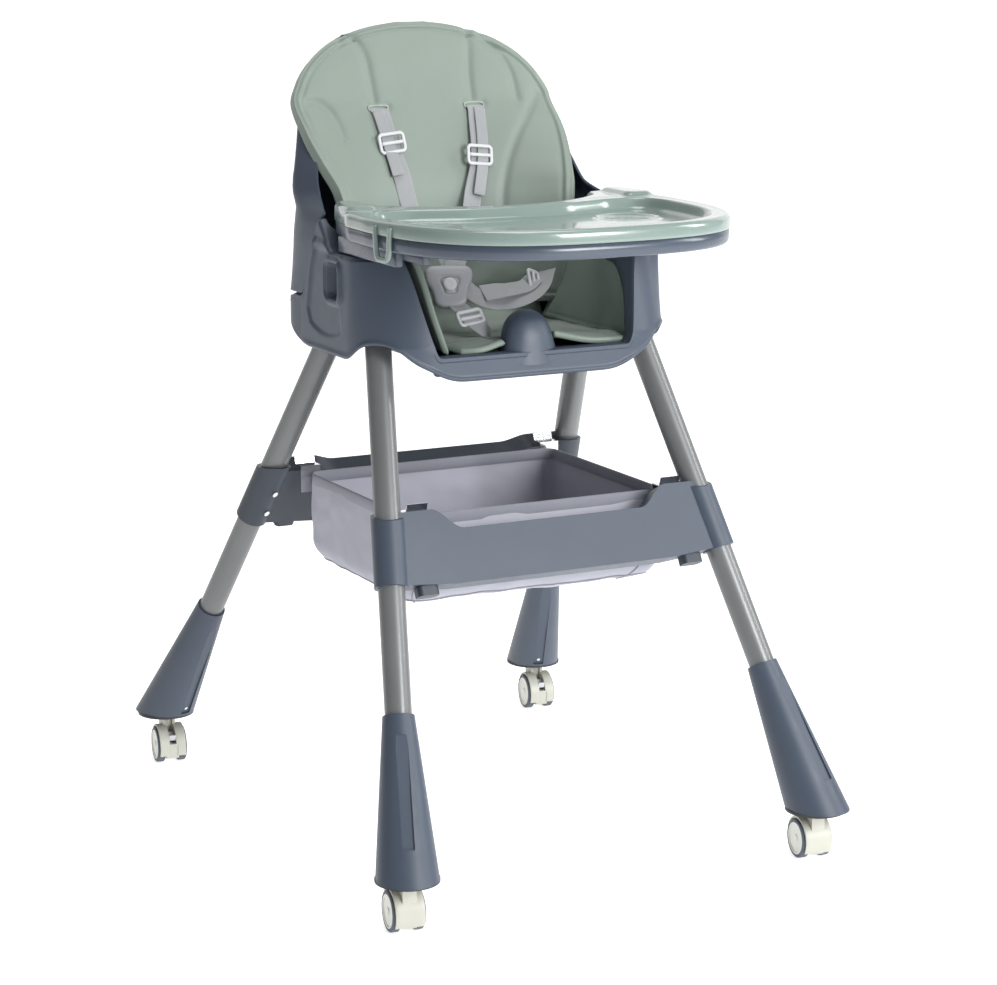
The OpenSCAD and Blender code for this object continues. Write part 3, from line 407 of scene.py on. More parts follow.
TREAD = plastic("tread_plastic", (0.075, 0.092, 0.115), 0.6, grain=700.0, depth=0.0002)
WEBBING = weave("harness_webbing", (0.30, 0.31, 0.32), 0.0013, dark=0.22, depth=0.0003, ribs=0.75)
BASKET_CLOTH = weave("basket_cloth", (0.400, 0.405, 0.465), 0.0009, dark=0.09, depth=0.00015)
BASKET_TAPE = weave("basket_tape", (0.250, 0.258, 0.300), 0.0012, dark=0.16, depth=0.0002)


def paint(obj, m):
    if obj.material_slots:
        for s in obj.material_slots:
            s.material = m
    else:
        obj.data.materials.append(m)
    return obj


def piece(obj, m, body, *nodes, slot=None):
    """Gives a finished piece its material, its body and the CAD nodes that it stands for."""
    paint(obj, m)
    if body:
        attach(obj, body)
    if nodes:
        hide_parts(*nodes)
    return obj


# ------------------------------------------------------------------ back shell
def seat_z(h):
    return Z0 + h


shell_w = table([(95, 221), (160, 221), (225, 213), (261, 203), (293, 190), (324, 176),
                 (334, 172), (357, 166), (379, 148), (399, 121), (414, 88), (421, 45)])
shell_front = table([(95, 56), (102, 48), (201, 3), (210, 25), (222, 54), (261, 84), (293, 116),
                     (324, 148), (357, 170), (379, 181), (399, 188), (421, 197)])
shell_tuck = table([(95, 0.99), (190, 0.985), (225, 0.90), (261, 0.90), (293, 0.955), (324, 0.98), (334, 1)])
shell_mid = table([(95, 124), (250, 139), (319, 168), (380, 190), (421, 206)])
pad_mid = table([(60, 58), (200, 100), (319, 143), (380, 166), (428, 186)])
pad_w = table([(67, 145), (175, 160), (222, 168), (261, 180), (293, 186), (329, 187), (357, 175),
               (379, 157), (399, 130), (414, 97), (424, 52), (428, 20)])
pad_wing = table([(67, 45), (150, 62), (222, 66), (261, 48), (293, 27), (329, 2), (357, 0), (428, -4)])


def bent_section(h, n, inset=0.0):
    """The back's outer wall at height h above the datum, from the left edge round to the right."""
    t = np.linspace(0, math.pi, 721)
    p = 0.42
    f = np.sin(t) ** p
    f[0] = f[-1] = 0
    w = float(shell_w(h)) - inset
    tuck = float(shell_tuck(h))
    k = tuck + (1 - tuck) * np.minimum(1, f * 1.5)
    y0, y1 = float(shell_front(h)), float(shell_mid(h)) - inset
    x = -w * k * np.sign(np.cos(t)) * np.abs(np.cos(t)) ** p
    return resample(np.stack([x, y0 + (y1 - y0) * f], axis=1), n)


def make_back_shell():
    heights = np.concatenate([np.linspace(95.5, 200, 30), np.linspace(203, 235, 14),
        np.linspace(240, 420, 46)])
    n = 150
    outer = np.zeros((len(heights), n, 3))
    for j, h in enumerate(heights):
        s = bent_section(h, n)
        outer[j, :, :2] = s
        outer[j, :, 2] = seat_z(h)
    obj = grid("back_wall", outer, flip=True)
    mod(obj, "SOLIDIFY", thickness=3.0 * MM, offset=-1, use_rim=True)
    mod(obj, "BEVEL", width=1.0 * MM, segments=2, limit_method="ANGLE", angle_limit=math.radians(50))
    return obj


back_wall = make_back_shell()
piece(back_wall, SLATE, "back", "back_shell", slot="shell_plastic")


# ------------------------------------------------------------------ seat shell
def seat_outline(n_side=60, n_front=90):
    """Plan of the seat at its base from the left seam round the front to the right seam: x and y."""
    w, f, r = HALF_W, 172.0, 90.0
    left = [(-w, y) for y in np.linspace(118, -(f - r), n_side)]
    a = np.radians(np.linspace(180, 270, n_front))
    arc = [(-(w - r) + r * math.cos(t), -(f - r) + r * math.sin(t)) for t in a[1:]]
    half = left + arc
    right = [(-x, y) for x, y in half[::-1]]
    return np.array(half + right)


def smooth_row(a, n):
    k = np.hanning(n + 2)[1:-1]
    return np.convolve(np.r_[np.full(n // 2, a[0]), a, np.full(n // 2, a[-1])], k / k.sum(), "valid")


def make_seat_shell():
    rear = bent_section(95.5, 300)[::-1]
    rear = rear[(rear[:, 0] > 0) & (rear[:, 1] > 57)]
    base = seat_outline()
    whole = np.vstack([rear[::-1] * (-1, 1), base[base[:, 1] < 54], rear])
    p = resample(whole, 720)
    tangent = np.gradient(p, axis=0)
    tangent /= np.linalg.norm(tangent, axis=1, keepdims=True)
    out = np.stack([tangent[:, 1], -tangent[:, 0]], axis=1)
    x, y = p[:, 0], p[:, 1]
    ax = np.abs(x)
    # lower edge: apron, arches over the front legs, skirts, rounded rear corners
    along = np.where(ax > HALF_W - 91, np.hypot(ax - 196, y + 133) * np.sign(y + 133 + (ax - 196) * 0.8),
        -999)
    low_front = 6 + 22 * smoothstep(104, 172, ax)
    low = np.where(y < -108, low_front, 30)
    low = np.where((y < -60) & (ax > 150), np.maximum(low,
        28 + 26 * np.sqrt(np.clip(1 - (along / 42) ** 2, 0, 1))), low)
    q = np.clip((y - 31) / 90, 0, 1)
    low = np.where(y > 31, 30 + 90 * (1 - np.sqrt(1 - q**2)) * 0.93, low)
    low = smooth_row(low, 25)
    # upper edge: armrests at the sides, low across the front, below the back's wall behind
    top = np.where(y < -60, 38 + 120 * smoothstep(-0.15, 1.0, (ax - 138) / 28.0) ** 0.85, 158)
    seam = np.interp(y, [-34, -10, 1, 48, 54, 60], [158, 188, 199, 102.5, 94.5, 94.5])
    swing = math.tan(math.radians(16)) * np.clip(y - 76, 0, 60)
    top = smooth_row(np.where(y > -34, seam - swing, top), 7)
    low = np.minimum(low, top - 4)
    shelf = (6 + 34 * smoothstep(150, 178, ax)) * smoothstep(-5, -40, y) + 3
    rows = 72
    sheet = np.zeros((rows, len(p), 3))
    for j in range(rows):
        v = j / (rows - 1)
        h = low + (top - low) * v
        back = 34.0 * np.clip((h - 50) / 108, 0, 1) * smoothstep(-90, -150, y)
        sheet[j] = np.stack([x, y + back, seat_z(h)], axis=1)
    nrm = np.stack([out[:, 0], out[:, 1], np.zeros(len(x))], axis=1)
    ys, zs = sheet[:, :, 1], sheet[:, :, 2] - Z0
    on_side = (np.abs(sheet[:, :, 0]) > HALF_W - 6) & (ys < 62)
    cy, cz = -41.0, 122.0
    # inset panel that narrows upwards, with a rounded lower end
    front_edge = np.interp(zs, [40, 60, 90, 160], [-22, 0, 6, 6]) + cy
    rear_edge = np.interp(zs, [40, 56, 80, 130, 200], [cy + 40, cy + 66, cy + 78, cy + 66, cy + 40])
    tear = np.maximum(np.maximum(front_edge - 26 - ys, ys - rear_edge), 52 - zs + 0.004 * (ys - cy - 18) ** 2)
    relief = -2.2 * smoothstep(2.2, -2.2, tear) * smoothstep(176, 150, zs)
    frame_d = rounded_box(ys - cy, zs - cz, 58, 60, 17)
    relief += 3.4 * smoothstep(1.5, -2.0, frame_d) - 3.0 * smoothstep(-5.5, -8.5, frame_d)
    pocket = rounded_box(ys - cy, zs - cz, 31, 43, 6)
    relief += -9.0 * smoothstep(1.0, -1.0, pocket)
    rib = rounded_box(ys - cy - 14, zs - cz - 42, 92, 12, 6)
    relief += 2.4 * smoothstep(3.0, -3.0, rib)
    # lip along the lower edge and a step below the armrest
    above_low = zs - low[None]
    lip = 1.8 * np.exp(-(((above_low - 3.0) / 2.6) ** 2))
    relief = np.where(on_side, relief, 0) + lip * smoothstep(60, 30, ys)
    sheet += nrm[None] * relief[:, :, None]
    r = 7.0
    edge = sheet[-1].copy()
    for k, (drop, pull) in enumerate(((r * 0.6, 0.3), (r * 0.25, 1.6), (0.05 * r, 3.6))):
        sheet[-3 + k] = edge - nrm * pull - [0, 0, drop]
    tail = []
    for k in (0.0, 0.3, 0.65, 1.0):
        tail.append(edge - nrm * (r + (shelf * k)[:, None]))
    for drop in (1.0, 3.5, 12.0, 26.0):
        tail.append(edge - nrm * (r + shelf + 1.5)[:, None] - [0, 0, drop])
    full = np.vstack([sheet, np.array(tail)])
    obj = grid("seat_wall", full)
    mod(obj, "SOLIDIFY", thickness=3.0 * MM, offset=-1, use_rim=True)
    return obj


def make_rear_wall():
    """Part of the seat that stands behind the lower edge of the back."""
    base = bent_section(95.5, 240)
    base = base[base[:, 1] > 58]
    t = np.gradient(base, axis=0)
    t /= np.linalg.norm(t, axis=1, keepdims=True)
    # the back's edge swings forward as it leans back, so the rear of this wall stands further in
    inset = 4.5 + 6.5 * np.clip((base[:, 1] - 58) / 50, 0, 1)
    inner = base + np.stack([t[:, 1], -t[:, 0]], axis=1) * inset[:, None]
    if np.abs(inner[:, 0]).max() > np.abs(base[:, 0]).max():
        inner = 2 * base - inner
    rows = [np.column_stack([inner, np.full(len(inner), seat_z(h))]) for h in np.linspace(62, 112, 8)]
    obj = grid("seat_rear_wall", np.array(rows))
    mod(obj, "SOLIDIFY", thickness=2.0 * MM, offset=0)
    return obj


piece(make_rear_wall(), SLATE, "chair", slot="shell_plastic")
seat_wall = make_seat_shell()
piece(seat_wall, SLATE, "chair", "seat_shell", slot="shell_plastic")


def make_bucket():
    """Inner tub that the cushion lies in: pan and side walls."""
    rows = []
    ys = np.r_[np.full(3, 72.0), np.linspace(72, -164, 60)]
    section = [(-166, 150), (-160, 110), (-155, 60), (-151, 38), (-140, 33.5), (-70, 33), (0, 33),
               (70, 33), (140, 33.5), (151, 38), (155, 60), (160, 110), (166, 150)]
    sec = spline(section, 90)
    for k, y in enumerate(ys):
        h = sec[:, 1].copy()
        if k < 3:
            h = np.maximum(h, (112, 80, 50)[k])
        cap_h = np.interp(y, [-164, -150, -130, 72], [40, 60, 140, 150])
        h = np.minimum(h, cap_h)
        rows.append(np.stack([sec[:, 0], np.full(90, y), seat_z(h)], axis=1))
    obj = grid("seat_pan", np.array(rows))
    mod(obj, "SOLIDIFY", thickness=3.0 * MM, offset=1)
    return obj


seat_pan = make_bucket()
# the pan inside the bucket gets the darker slate: painted shade
piece(seat_pan, SLATE_SHADED, "chair", slot="shell_plastic")


def make_post():
    """Rounded post between the child's legs, flared into the apron."""
    half = table([(0, 44), (0.10, 42), (0.24, 38), (0.5, 33.5), (0.72, 29), (0.86, 22.5), (0.95, 14),
        (0.99, 6), (1, 0.1)])
    deep = table([(0, 26), (0.24, 25), (0.5, 24), (0.8, 19), (0.95, 10), (0.99, 4), (1, 0.1)])
    n = 96
    rows = []
    a = np.linspace(0, 2 * math.pi, n, endpoint=False)
    for t in np.r_[np.linspace(0, 0.9, 26), np.linspace(0.92, 1.0, 14)]:
        w, d = float(half(t)), float(deep(t))
        cx = np.sign(np.cos(a)) * np.abs(np.cos(a)) ** 0.9
        cy = np.sign(np.sin(a)) * np.abs(np.sin(a)) ** 0.9
        rows.append(np.stack([w * cx, -149 + 7 * t + d * cy, np.full(n, seat_z(20 + 66 * t))], axis=1))
    return grid("crotch_post", np.array(rows), closed_u=True)


post = make_post()
piece(post, SLATE, "chair", slot="shell_plastic")

for side, tag in ((-1, "left"), (1, "right")):
    lo, hi = box_mm("side_button_" + tag)
    y = np.linspace(lo[1], hi[1], 26)
    z = np.linspace(lo[2], hi[2], 34)
    yy, zz = np.meshgrid(y, z)
    cy, cz = (lo[1] + hi[1]) / 2, (lo[2] + hi[2]) / 2
    d = rounded_box(yy - cy, zz - cz, hi[1] - lo[1], hi[2] - lo[2], 6)
    face = (HALF_W - 12.5) + 1.5 * smoothstep(0, -5,
        d) - 2.0 * np.exp(-(((yy - cy) / 9) ** 2 + ((zz - cz) / 13) ** 2))
    face -= 9.0 * smoothstep(-0.5, 1.0, d)
    button = grid("release_button_" + tag, np.stack([side * face, yy, zz], axis=2), flip=side < 0)
    mod(button, "SOLIDIFY", thickness=2.0 * MM, offset=-1)
    # the buttons in their pockets get the darker slate: painted shade of the pocket
    piece(button, SLATE_SHADED, "button_" + tag, "side_button_" + tag, slot="shell_plastic")


# ------------------------------------------------------------------ back cushion
def pad_point(x, h, lift=0.0):
    """A point of the back cushion's face: across x, height h above the datum."""
    w = np.maximum(pad_w(h), 1.0)
    c = np.clip(np.abs(x) / w, 0, 1)
    return pad_mid(h) - pad_wing(h) * c**2.2 - lift


SLOT_H = 319.0
SEAM_LINES = [
    [(-108, 404), (-98, 413), (-88, 408), (-78, 389), (-75, 355), (-74, 328)],
    [(81, 414), (77, 390), (74, 377), (70, 352), (69, 328)],
    [(-168, 329), (-155, 328), (-141, 317), (-134, 297), (-132, 280)],
    [(168, 330), (147, 308), (119, 275), (98, 240), (86, 202), (82, 170)],
    [(100, 408), (121, 388), (134, 358), (136, 323)],
]


def make_back_cushion():
    """Front face with piping, puffed panels and stitched grooves; the gusset and a plain rear face."""
    nu, nv = 150, 170
    hs = np.concatenate([np.linspace(67, 400, nv - 40), 400 + 28 * np.sin(np.linspace(0, math.pi / 2,
        41))[1:]])
    u = np.linspace(-1, 1, nu)
    uu = np.sign(u) * (1 - (1 - np.abs(u)) ** 1.15)
    rows = []
    for h in hs:
        w = float(pad_w(h))
        x = uu * w
        rows.append(np.stack([x, pad_point(x, h), np.full(nu, h)], axis=1))
    front = np.array(rows)
    flat = front.reshape(-1, 3)
    xz = flat[:, [0, 2]]
    left = np.array([(-float(pad_w(h)), h) for h in np.linspace(67, 428, 160)])
    right = np.array([(float(pad_w(h)), h) for h in np.linspace(428, 67, 160)])
    rim = np.vstack([left, right, left[:1]])
    d_edge = line_distance(xz, rim)
    groove = np.full(len(xz), 99.0)
    for line in SEAM_LINES:
        groove = np.minimum(groove, line_distance(xz, spline(line, 40)))
    puff = 5.0 * (1 - np.exp(-((d_edge / 16.0) ** 1.2)))
    puff -= 3.2 * np.exp(-((groove / 5.0) ** 2)) + 1.5 * np.exp(-((groove / 14.0) ** 2))
    piping = 2.2 * np.exp(-(((d_edge - 6.5) / 2.3) ** 2)) - 1.6 * np.exp(-(((d_edge - 10.5) / 2.2) ** 2))
    soft = np.array([noise.noise(Vector((a * 0.018, b * 0.014, 3.1))) for a, b in xz]) * 1.1
    soft *= np.clip(d_edge / 25, 0, 1)
    for sx in (-70, 70):
        r = rounded_box(xz[:, 0] - sx, xz[:, 1] - SLOT_H, 30, 6, 3)
        puff -= 2.6 * np.exp(-((np.maximum(r, 0) / 4.0) ** 2))
    lift = (puff + piping + soft).reshape(front.shape[:2])
    # normals from the undisplaced face
    du = np.gradient(front, axis=1)
    dv = np.gradient(front, axis=0)
    nrm = np.cross(du, dv)
    nrm /= np.maximum(np.linalg.norm(nrm, axis=2, keepdims=True), 1e-9)
    face = front + nrm * lift[:, :, None]
    face[:, :, 2] += Z0
    back = front - nrm * 12.0
    back[:, :, 2] += Z0
    # gusset: two mid rings round the edge join the faces
    def ring(a):
        return np.vstack([a[:, 0], a[-1, 1:-1], a[::-1, -1], a[0, 1:-1][::-1]])
    fr, bk = ring(face), ring(back)
    mids = [fr + (bk - fr) * t for t in (0.12, 0.5, 0.88)]
    nf = len(fr)
    verts = np.vstack([face.reshape(-1, 3), back.reshape(-1, 3)] + mids)
    n0 = nu * nv if False else face.shape[0] * face.shape[1]
    faces = grid_faces(face.shape[0], nu).tolist()
    faces += (grid_faces(face.shape[0], nu, flip=True) + n0).tolist()
    idx = np.arange(n0).reshape(face.shape[0], nu)
    ring_idx = np.concatenate([idx[:, 0], idx[-1, 1:-1], idx[::-1, -1], idx[0, 1:-1][::-1]])
    loops = [ring_idx, 2 * n0 + np.arange(nf), 2 * n0 + nf + np.arange(nf),
        2 * n0 + 2 * nf + np.arange(nf), ring_idx + n0]
    for a, b in zip(loops[:-1], loops[1:]):
        for i in range(nf):
            k = (i + 1) % nf
            faces.append([a[i], a[k], b[k], b[i]])
    obj = add("back_pad", verts, faces)
    return obj, face, nrm


back_pad, pad_face, pad_normal = make_back_cushion()
piece(back_pad, SAGE_PAD, "back", "back_cushion", slot="leatherette")


def on_pad(points, lift):
    """Points (x, height) laid on the cushion's puffed face."""
    f = pad_face.reshape(-1, 3)
    n = pad_normal.reshape(-1, 3)
    out = []
    for x, h in points:
        i = int(np.argmin((f[:, 0] - x) ** 2 + (f[:, 2] - Z0 - h) ** 2))
        out.append([x, f[i, 1] + n[i, 1] * lift, seat_z(h)])
    return np.array(out)


def smooth_path(p, times=6):
    p = np.array(p)
    for _ in range(times):
        p[1:-1] = (p[:-2] + 2 * p[1:-1] + p[2:]) / 4
    return p


# thin dark tubes laid at the bottom of the seam grooves: painted crease shade that draws the seam lines
seams = []
for k, line in enumerate(SEAM_LINES[:4]):
    seams.append(sweep("seam", smooth_path(on_pad(spline(line, 70), -1.6)), circle(0.8, 6)))
back_seam_shade = join("back_seam_shade", seams)
piece(back_seam_shade, SEAM_SHADE, "back", slot="leatherette")

slots = []
for sx in (-70, 70):
    ring_path = []
    for a in np.linspace(0, 2 * math.pi, 48, endpoint=False):
        ca, sa = math.cos(a), math.sin(a)
        ring_path.append((sx + 11 * np.sign(ca) * min(1, abs(ca) * 1.6) + 3 * ca, SLOT_H + 3.4 * sa))
    path = on_pad(ring_path, 0.6)
    slots.append(sweep("slot_edge", path, circle(1.3, 8), closed=True))
slot_edges = join("slot_edges", slots)
piece(slot_edges, SAGE_EDGE, "back", slot="leatherette")


# ------------------------------------------------------------------ seat cushion
def pad_sheet(name, rails, thickness, n=60, m=50, edge=4.0, puff=2.0, seed=0.0):
    """A padded panel spanned between rails (lists of 3-D points), with rounded, piped edges."""
    curves = np.array([spline(r, m) for r in rails])
    s = np.linspace(0, 1, len(rails))
    t = np.linspace(0, 1, n)
    p = np.stack([[np.interp(t, s, curves[:, j, k]) for k in range(3)] for j in range(m)])
    p = p.transpose(2, 0, 1)
    for _ in range(30):
        p[1:-1] = (p[:-2] + 2 * p[1:-1] + p[2:]) / 4
    du = np.gradient(p, axis=1)
    dv = np.gradient(p, axis=0)
    nrm = np.cross(du, dv)
    nrm /= np.maximum(np.linalg.norm(nrm, axis=2, keepdims=True), 1e-9)
    su = np.r_[0, np.cumsum(np.linalg.norm(np.diff(p[n // 2], axis=0), axis=1))]
    sv = np.r_[0, np.cumsum(np.linalg.norm(np.diff(p[:, m // 2], axis=0), axis=1))]
    du_edge = np.minimum(su, su[-1] - su)[None]
    dv_edge = np.minimum(sv, sv[-1] - sv)[:, None]
    d = np.minimum(du_edge + 0 * dv_edge, dv_edge + 0 * du_edge)
    body = thickness / 2 * np.sqrt(np.clip(1 - (1 - np.clip(d / edge, 0, 1)) ** 2, 0, 1))
    body = body + puff * (1 - np.exp(-((d / 18.0) ** 1.3)))
    body += 1.2 * np.exp(-(((d - 4.5) / 2.0) ** 2)) - 1.1 * np.exp(-(((d - 8.0) / 1.8) ** 2))
    wob = np.array([[noise.noise(Vector((a[0] * 0.02, a[1] * 0.02,
        a[2] * 0.02 + seed))) for a in row] for row in p])
    body += wob * 0.8 * np.clip(d / 20, 0, 1)
    top = p + nrm * body[:, :, None]
    low = p - nrm * (body * 0.6)[:, :, None]
    verts = np.vstack([top.reshape(-1, 3), low.reshape(-1, 3)])
    k = n * m
    faces = grid_faces(n, m).tolist() + (grid_faces(n, m, flip=True) + k).tolist()
    idx = np.arange(k).reshape(n, m)
    ring_idx = np.concatenate([idx[:, 0], idx[-1, 1:-1], idx[::-1, -1], idx[0, 1:-1][::-1]])
    for i in range(len(ring_idx)):
        j = (i + 1) % len(ring_idx)
        faces.append([ring_idx[i], ring_idx[j], ring_idx[j] + k, ring_idx[i] + k])
    return add(name, verts, faces)


def seat_line(points):
    return [(x, y, seat_z(h)) for x, y, h in points]


seat_floor = pad_sheet("seat_pad", [
    seat_line([(-128, 66, 74), (-128, 56, 54), (-127, -40, 43), (-124, -100, 43), (-112, -128, 44)]),
    seat_line([(-70, 68, 78), (-70, 58, 54), (-68, -40, 41), (-60, -95, 42), (-52, -118, 44)]),
    seat_line([(0, 68, 80), (0, 60, 54), (0, -20, 40), (0, -80, 41), (0, -112, 44)]),
    seat_line([(70, 68, 78), (70, 58, 54), (68, -40, 41), (60, -95, 42), (52, -118, 44)]),
    seat_line([(128, 66, 74), (128, 56, 54), (127, -40, 43), (126, -100, 43), (122, -132, 44)]),
], 8.0, n=90, m=70, puff=3.0)
lips = []
lips.append(pad_sheet("lip", [
    seat_line([(40, -110, 46), (88, -108, 44), (142, -104, 44)]),
    seat_line([(36, -132, 50), (84, -134, 47), (144, -128, 46)]),
    seat_line([(33, -157, 57), (78, -163, 45), (147, -153, 40)]),
], 8.0, n=40, m=60, puff=2.0, seed=2.0))
lips.append(pad_sheet("lip", [
    seat_line([(-40, -110, 46), (-80, -108, 44), (-118, -104, 44)]),
    seat_line([(-38, -132, 46), (-78, -134, 44), (-112, -128, 44)]),
    seat_line([(-36, -158, 48), (-72, -163, 40), (-96, -156, 38)]),
], 8.0, n=40, m=60, puff=2.0, seed=5.0))
wings = []
for sgn, rails in (
    (1, [[(121, 40, 44), (146, 38, 100), (160, 34, 158)],
         [(120, -50, 43), (146, -52, 98), (162, -50, 158)],
         [(130, -112, 42), (152, -106, 96), (166, -94, 158)],
         [(149, -151, 40), (161, -145, 88), (166, -130, 137), (169, -122, 158)]]),
    (-1, [[(-120, 40, 44), (-142, 38, 100), (-156, 34, 158)],
          [(-114, -50, 43), (-134, -52, 98), (-148, -50, 158)],
          [(-110, -112, 42), (-126, -106, 96), (-142, -94, 158)],
          [(-113, -154, 38), (-127, -147, 84), (-138, -132, 137), (-143, -124, 156)]]),
):
    rails = [seat_line(r) for r in rails]
    if sgn < 0:
        rails = rails[::-1]
    wings.append(pad_sheet("wing", rails, 8.0, n=70, m=60, puff=2.0, seed=sgn * 3.0))
seat_pad = join("seat_pad_all", [seat_floor] + lips + wings)
piece(seat_pad, SAGE_PAD, "chair", "seat_cushion", slot="leatherette")


# ------------------------------------------------------------------ harness
def strap(name, points, up, width=25.0, thick=1.5, n=90):
    """Webbing: a flat ribbon with rounded selvedges along a smooth path."""
    path = spline(points, n)
    if np.ndim(up) == 2:
        s = np.linspace(0, 1, len(up))
        up = np.stack([np.interp(np.linspace(0, 1, n), s, np.array(up)[:, k]) for k in range(3)], axis=1)
    w, t = width / 2, thick / 2
    prof = [(-w, -t * 0.5), (-w, t * 0.5)] + [(x,
        t + 0.15 * math.cos(x * 2.2)) for x in np.linspace(-w + 0.6, w - 0.6, 15)]
    prof += [(w, t * 0.5), (w, -t * 0.5)] + [(x, -t) for x in np.linspace(w - 0.6, -w + 0.6, 15)]
    length = np.r_[0, np.cumsum(np.linalg.norm(np.diff(path, axis=0), axis=1))]
    uv = np.array([(p[0] * MM, s * MM) for s in length for p in prof])
    return sweep(name, path, prof, up=up, uv=uv)


def pad_y(x, h):
    return float(pad_point(x, h)) - 6.0


BACK_UP = [(0, -1, 0.25), (0, -1, 0.3), (0, -0.9, 0.5), (-0.1, -0.75, 0.66)]
left_points = [(-70, pad_y(-70, 319) + 14, 924), (-70, pad_y(-70, 317) - 1, 921),
    (-68, pad_y(-68, 300) - 2, 905),
               (-64, pad_y(-64, 270) - 3, 875), (-57, pad_y(-57, 235) - 4, 840), (-52, 82, 800),
                   (-50, 34, 771),
               (-52, -16, 750), (-57, -52, 734)]
right_points = [(70, pad_y(70, 319) + 14, 924), (70, pad_y(70, 317) - 1, 921), (68, pad_y(68, 300) - 2, 905),
                (60, pad_y(60, 250) - 3, 855), (42, pad_y(42, 205) - 6, 810), (24, 60, 778), (-10, 10, 756),
                (-42, -34, 742), (-57, -54, 734)]
strap_l = strap("shoulder_webbing_left", left_points, BACK_UP)
strap_r = strap("shoulder_webbing_right", right_points, BACK_UP)
for obj, tag, sx in ((strap_l, "left", -1), (strap_r, "right", 1)):
    paint(obj, WEBBING)
    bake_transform(obj)
    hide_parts("shoulder_strap_" + tag)
tails = []
for pts, sx in ((left_points, -1), (right_points, 1)):
    p = [(x + sx * 4.0, y - 3.0, z) for x, y, z in pts[1:5]]
    tails.append(strap("tail", [p[0], p[1], p[2], (p[3][0] + sx * 3, p[3][1] - 2.0, p[3][2])],
        BACK_UP[:2], width=16.0, n=40))
for k, obj in enumerate(tails):
    piece(obj, WEBBING, "back", slot="webbing")
    obj.name = "adjuster_webbing_" + ("left", "right")[k]


def glide(name, centre, across, up, w=34.0, h=24.0, bar=4.5, t=3.6):
    """Three-bar webbing adjuster."""
    across = np.array(across, float) / np.linalg.norm(across)
    up = np.array(up, float) / np.linalg.norm(up)
    along = np.cross(up, across)
    c = np.array(centre, float)
    parts = []
    outline = [(w / 2 * sx * a, h / 2 * sy * b) for sx, sy, a, b in (
        (-1, -1, 1, 0.75), (-1, 1, 1, 0.75), (-1, 1, 0.85, 1), (1, 1, 0.85, 1),
        (1, 1, 1, 0.75), (1, -1, 1, 0.75), (1, -1, 0.85, 1), (-1, -1, 0.85, 1))]
    path = [c + across * a + along * b for a, b in outline]
    path = resample(path, 64, closed=True)
    prof = [(x * bar / 2, z * t / 2) for x, z in ((-1, -0.6), (-1, 0.6), (-0.6, 1), (0.6, 1), (1, 0.6),
        (1, -0.6),
                                                  (0.6, -1), (-0.6, -1))]
    parts.append(sweep("bar", path, prof, up=up, closed=True))
    mid = [c - across * (w / 2 - 1), c + across * (w / 2 - 1)]
    parts.append(sweep("bar", resample(mid, 8), prof, up=up + along * 0.01))
    return join(name, parts)


glides = []
for sx, pts in ((-1, left_points), (1, right_points)):
    x, y, z = pts[3]
    glides.append(glide("glide", (x, y - 1.5, z + 6), (1, 0, 0.1 * -sx), (0, -1, 0.28)))
glides_obj = join("strap_adjusters", glides)
piece(glides_obj, WHITE, "back", "strap_sliders", slot="pale_plastic")

WAIST_R = [(112, 10, 715), (104, 0, 711), (92, -14, 702), (74, -28, 694), (46, -44, 689), (10, -58, 689),
           (-14, -66, 693), (-34, -64, 703), (-44, -62, 712)]
WAIST_L = [(-106, 10, 716), (-104, -4, 714), (-101, -24, 711), (-97, -44, 709), (-90, -56, 710)]
waist_r = strap("waist_webbing_right", WAIST_R, [(-0.5, -0.2, 0.8), (-0.2, -0.5, 0.85), (0, -0.75, 0.6),
    (0.1, -0.8, 0.5)])
piece(waist_r, WEBBING, "chair", "waist_strap_right", slot="webbing")
waist_l = strap("waist_webbing_left", WAIST_L, [(0.6, -0.3, 0.7), (0.4, -0.6, 0.7), (0.2, -0.8, 0.5)])
piece(waist_l, WEBBING, "chair", "waist_strap_left", slot="webbing")
loop_r = strap("waist_loop_right", [(-20, -64, 702), (10, -55, 703), (42, -34, 701), (68, -18, 702),
    (84, -6, 708)],
               [(0, -0.75, 0.6), (-0.2, -0.5, 0.85)], width=24.0, n=60)
piece(loop_r, WEBBING, "chair", slot="webbing")
waist_glide = glide("waist_adjuster", (82, -12, 704), (0.1, 0.5, 0.75), (0.4, -0.7, 0.35), w=32.0, h=20.0)
piece(waist_glide, WHITE, "chair", slot="pale_plastic")
crotch = strap("crotch_webbing", [(-30, -104, 655), (-39, -109, 663), (-50, -101, 672), (-58, -88, 684),
    (-65, -72, 696)],
               (0.1, -0.75, 0.6), n=50)
piece(crotch, WEBBING, "chair", "crotch_strap", slot="webbing")
crotch_glide = glide("crotch_adjuster", (-54, -97, 678), (1, 0.1, 0.1), (0.2, -0.8, 0.55), w=34.0, h=18.0)
piece(crotch_glide, WHITE, "chair", "crotch_slider", slot="pale_plastic")


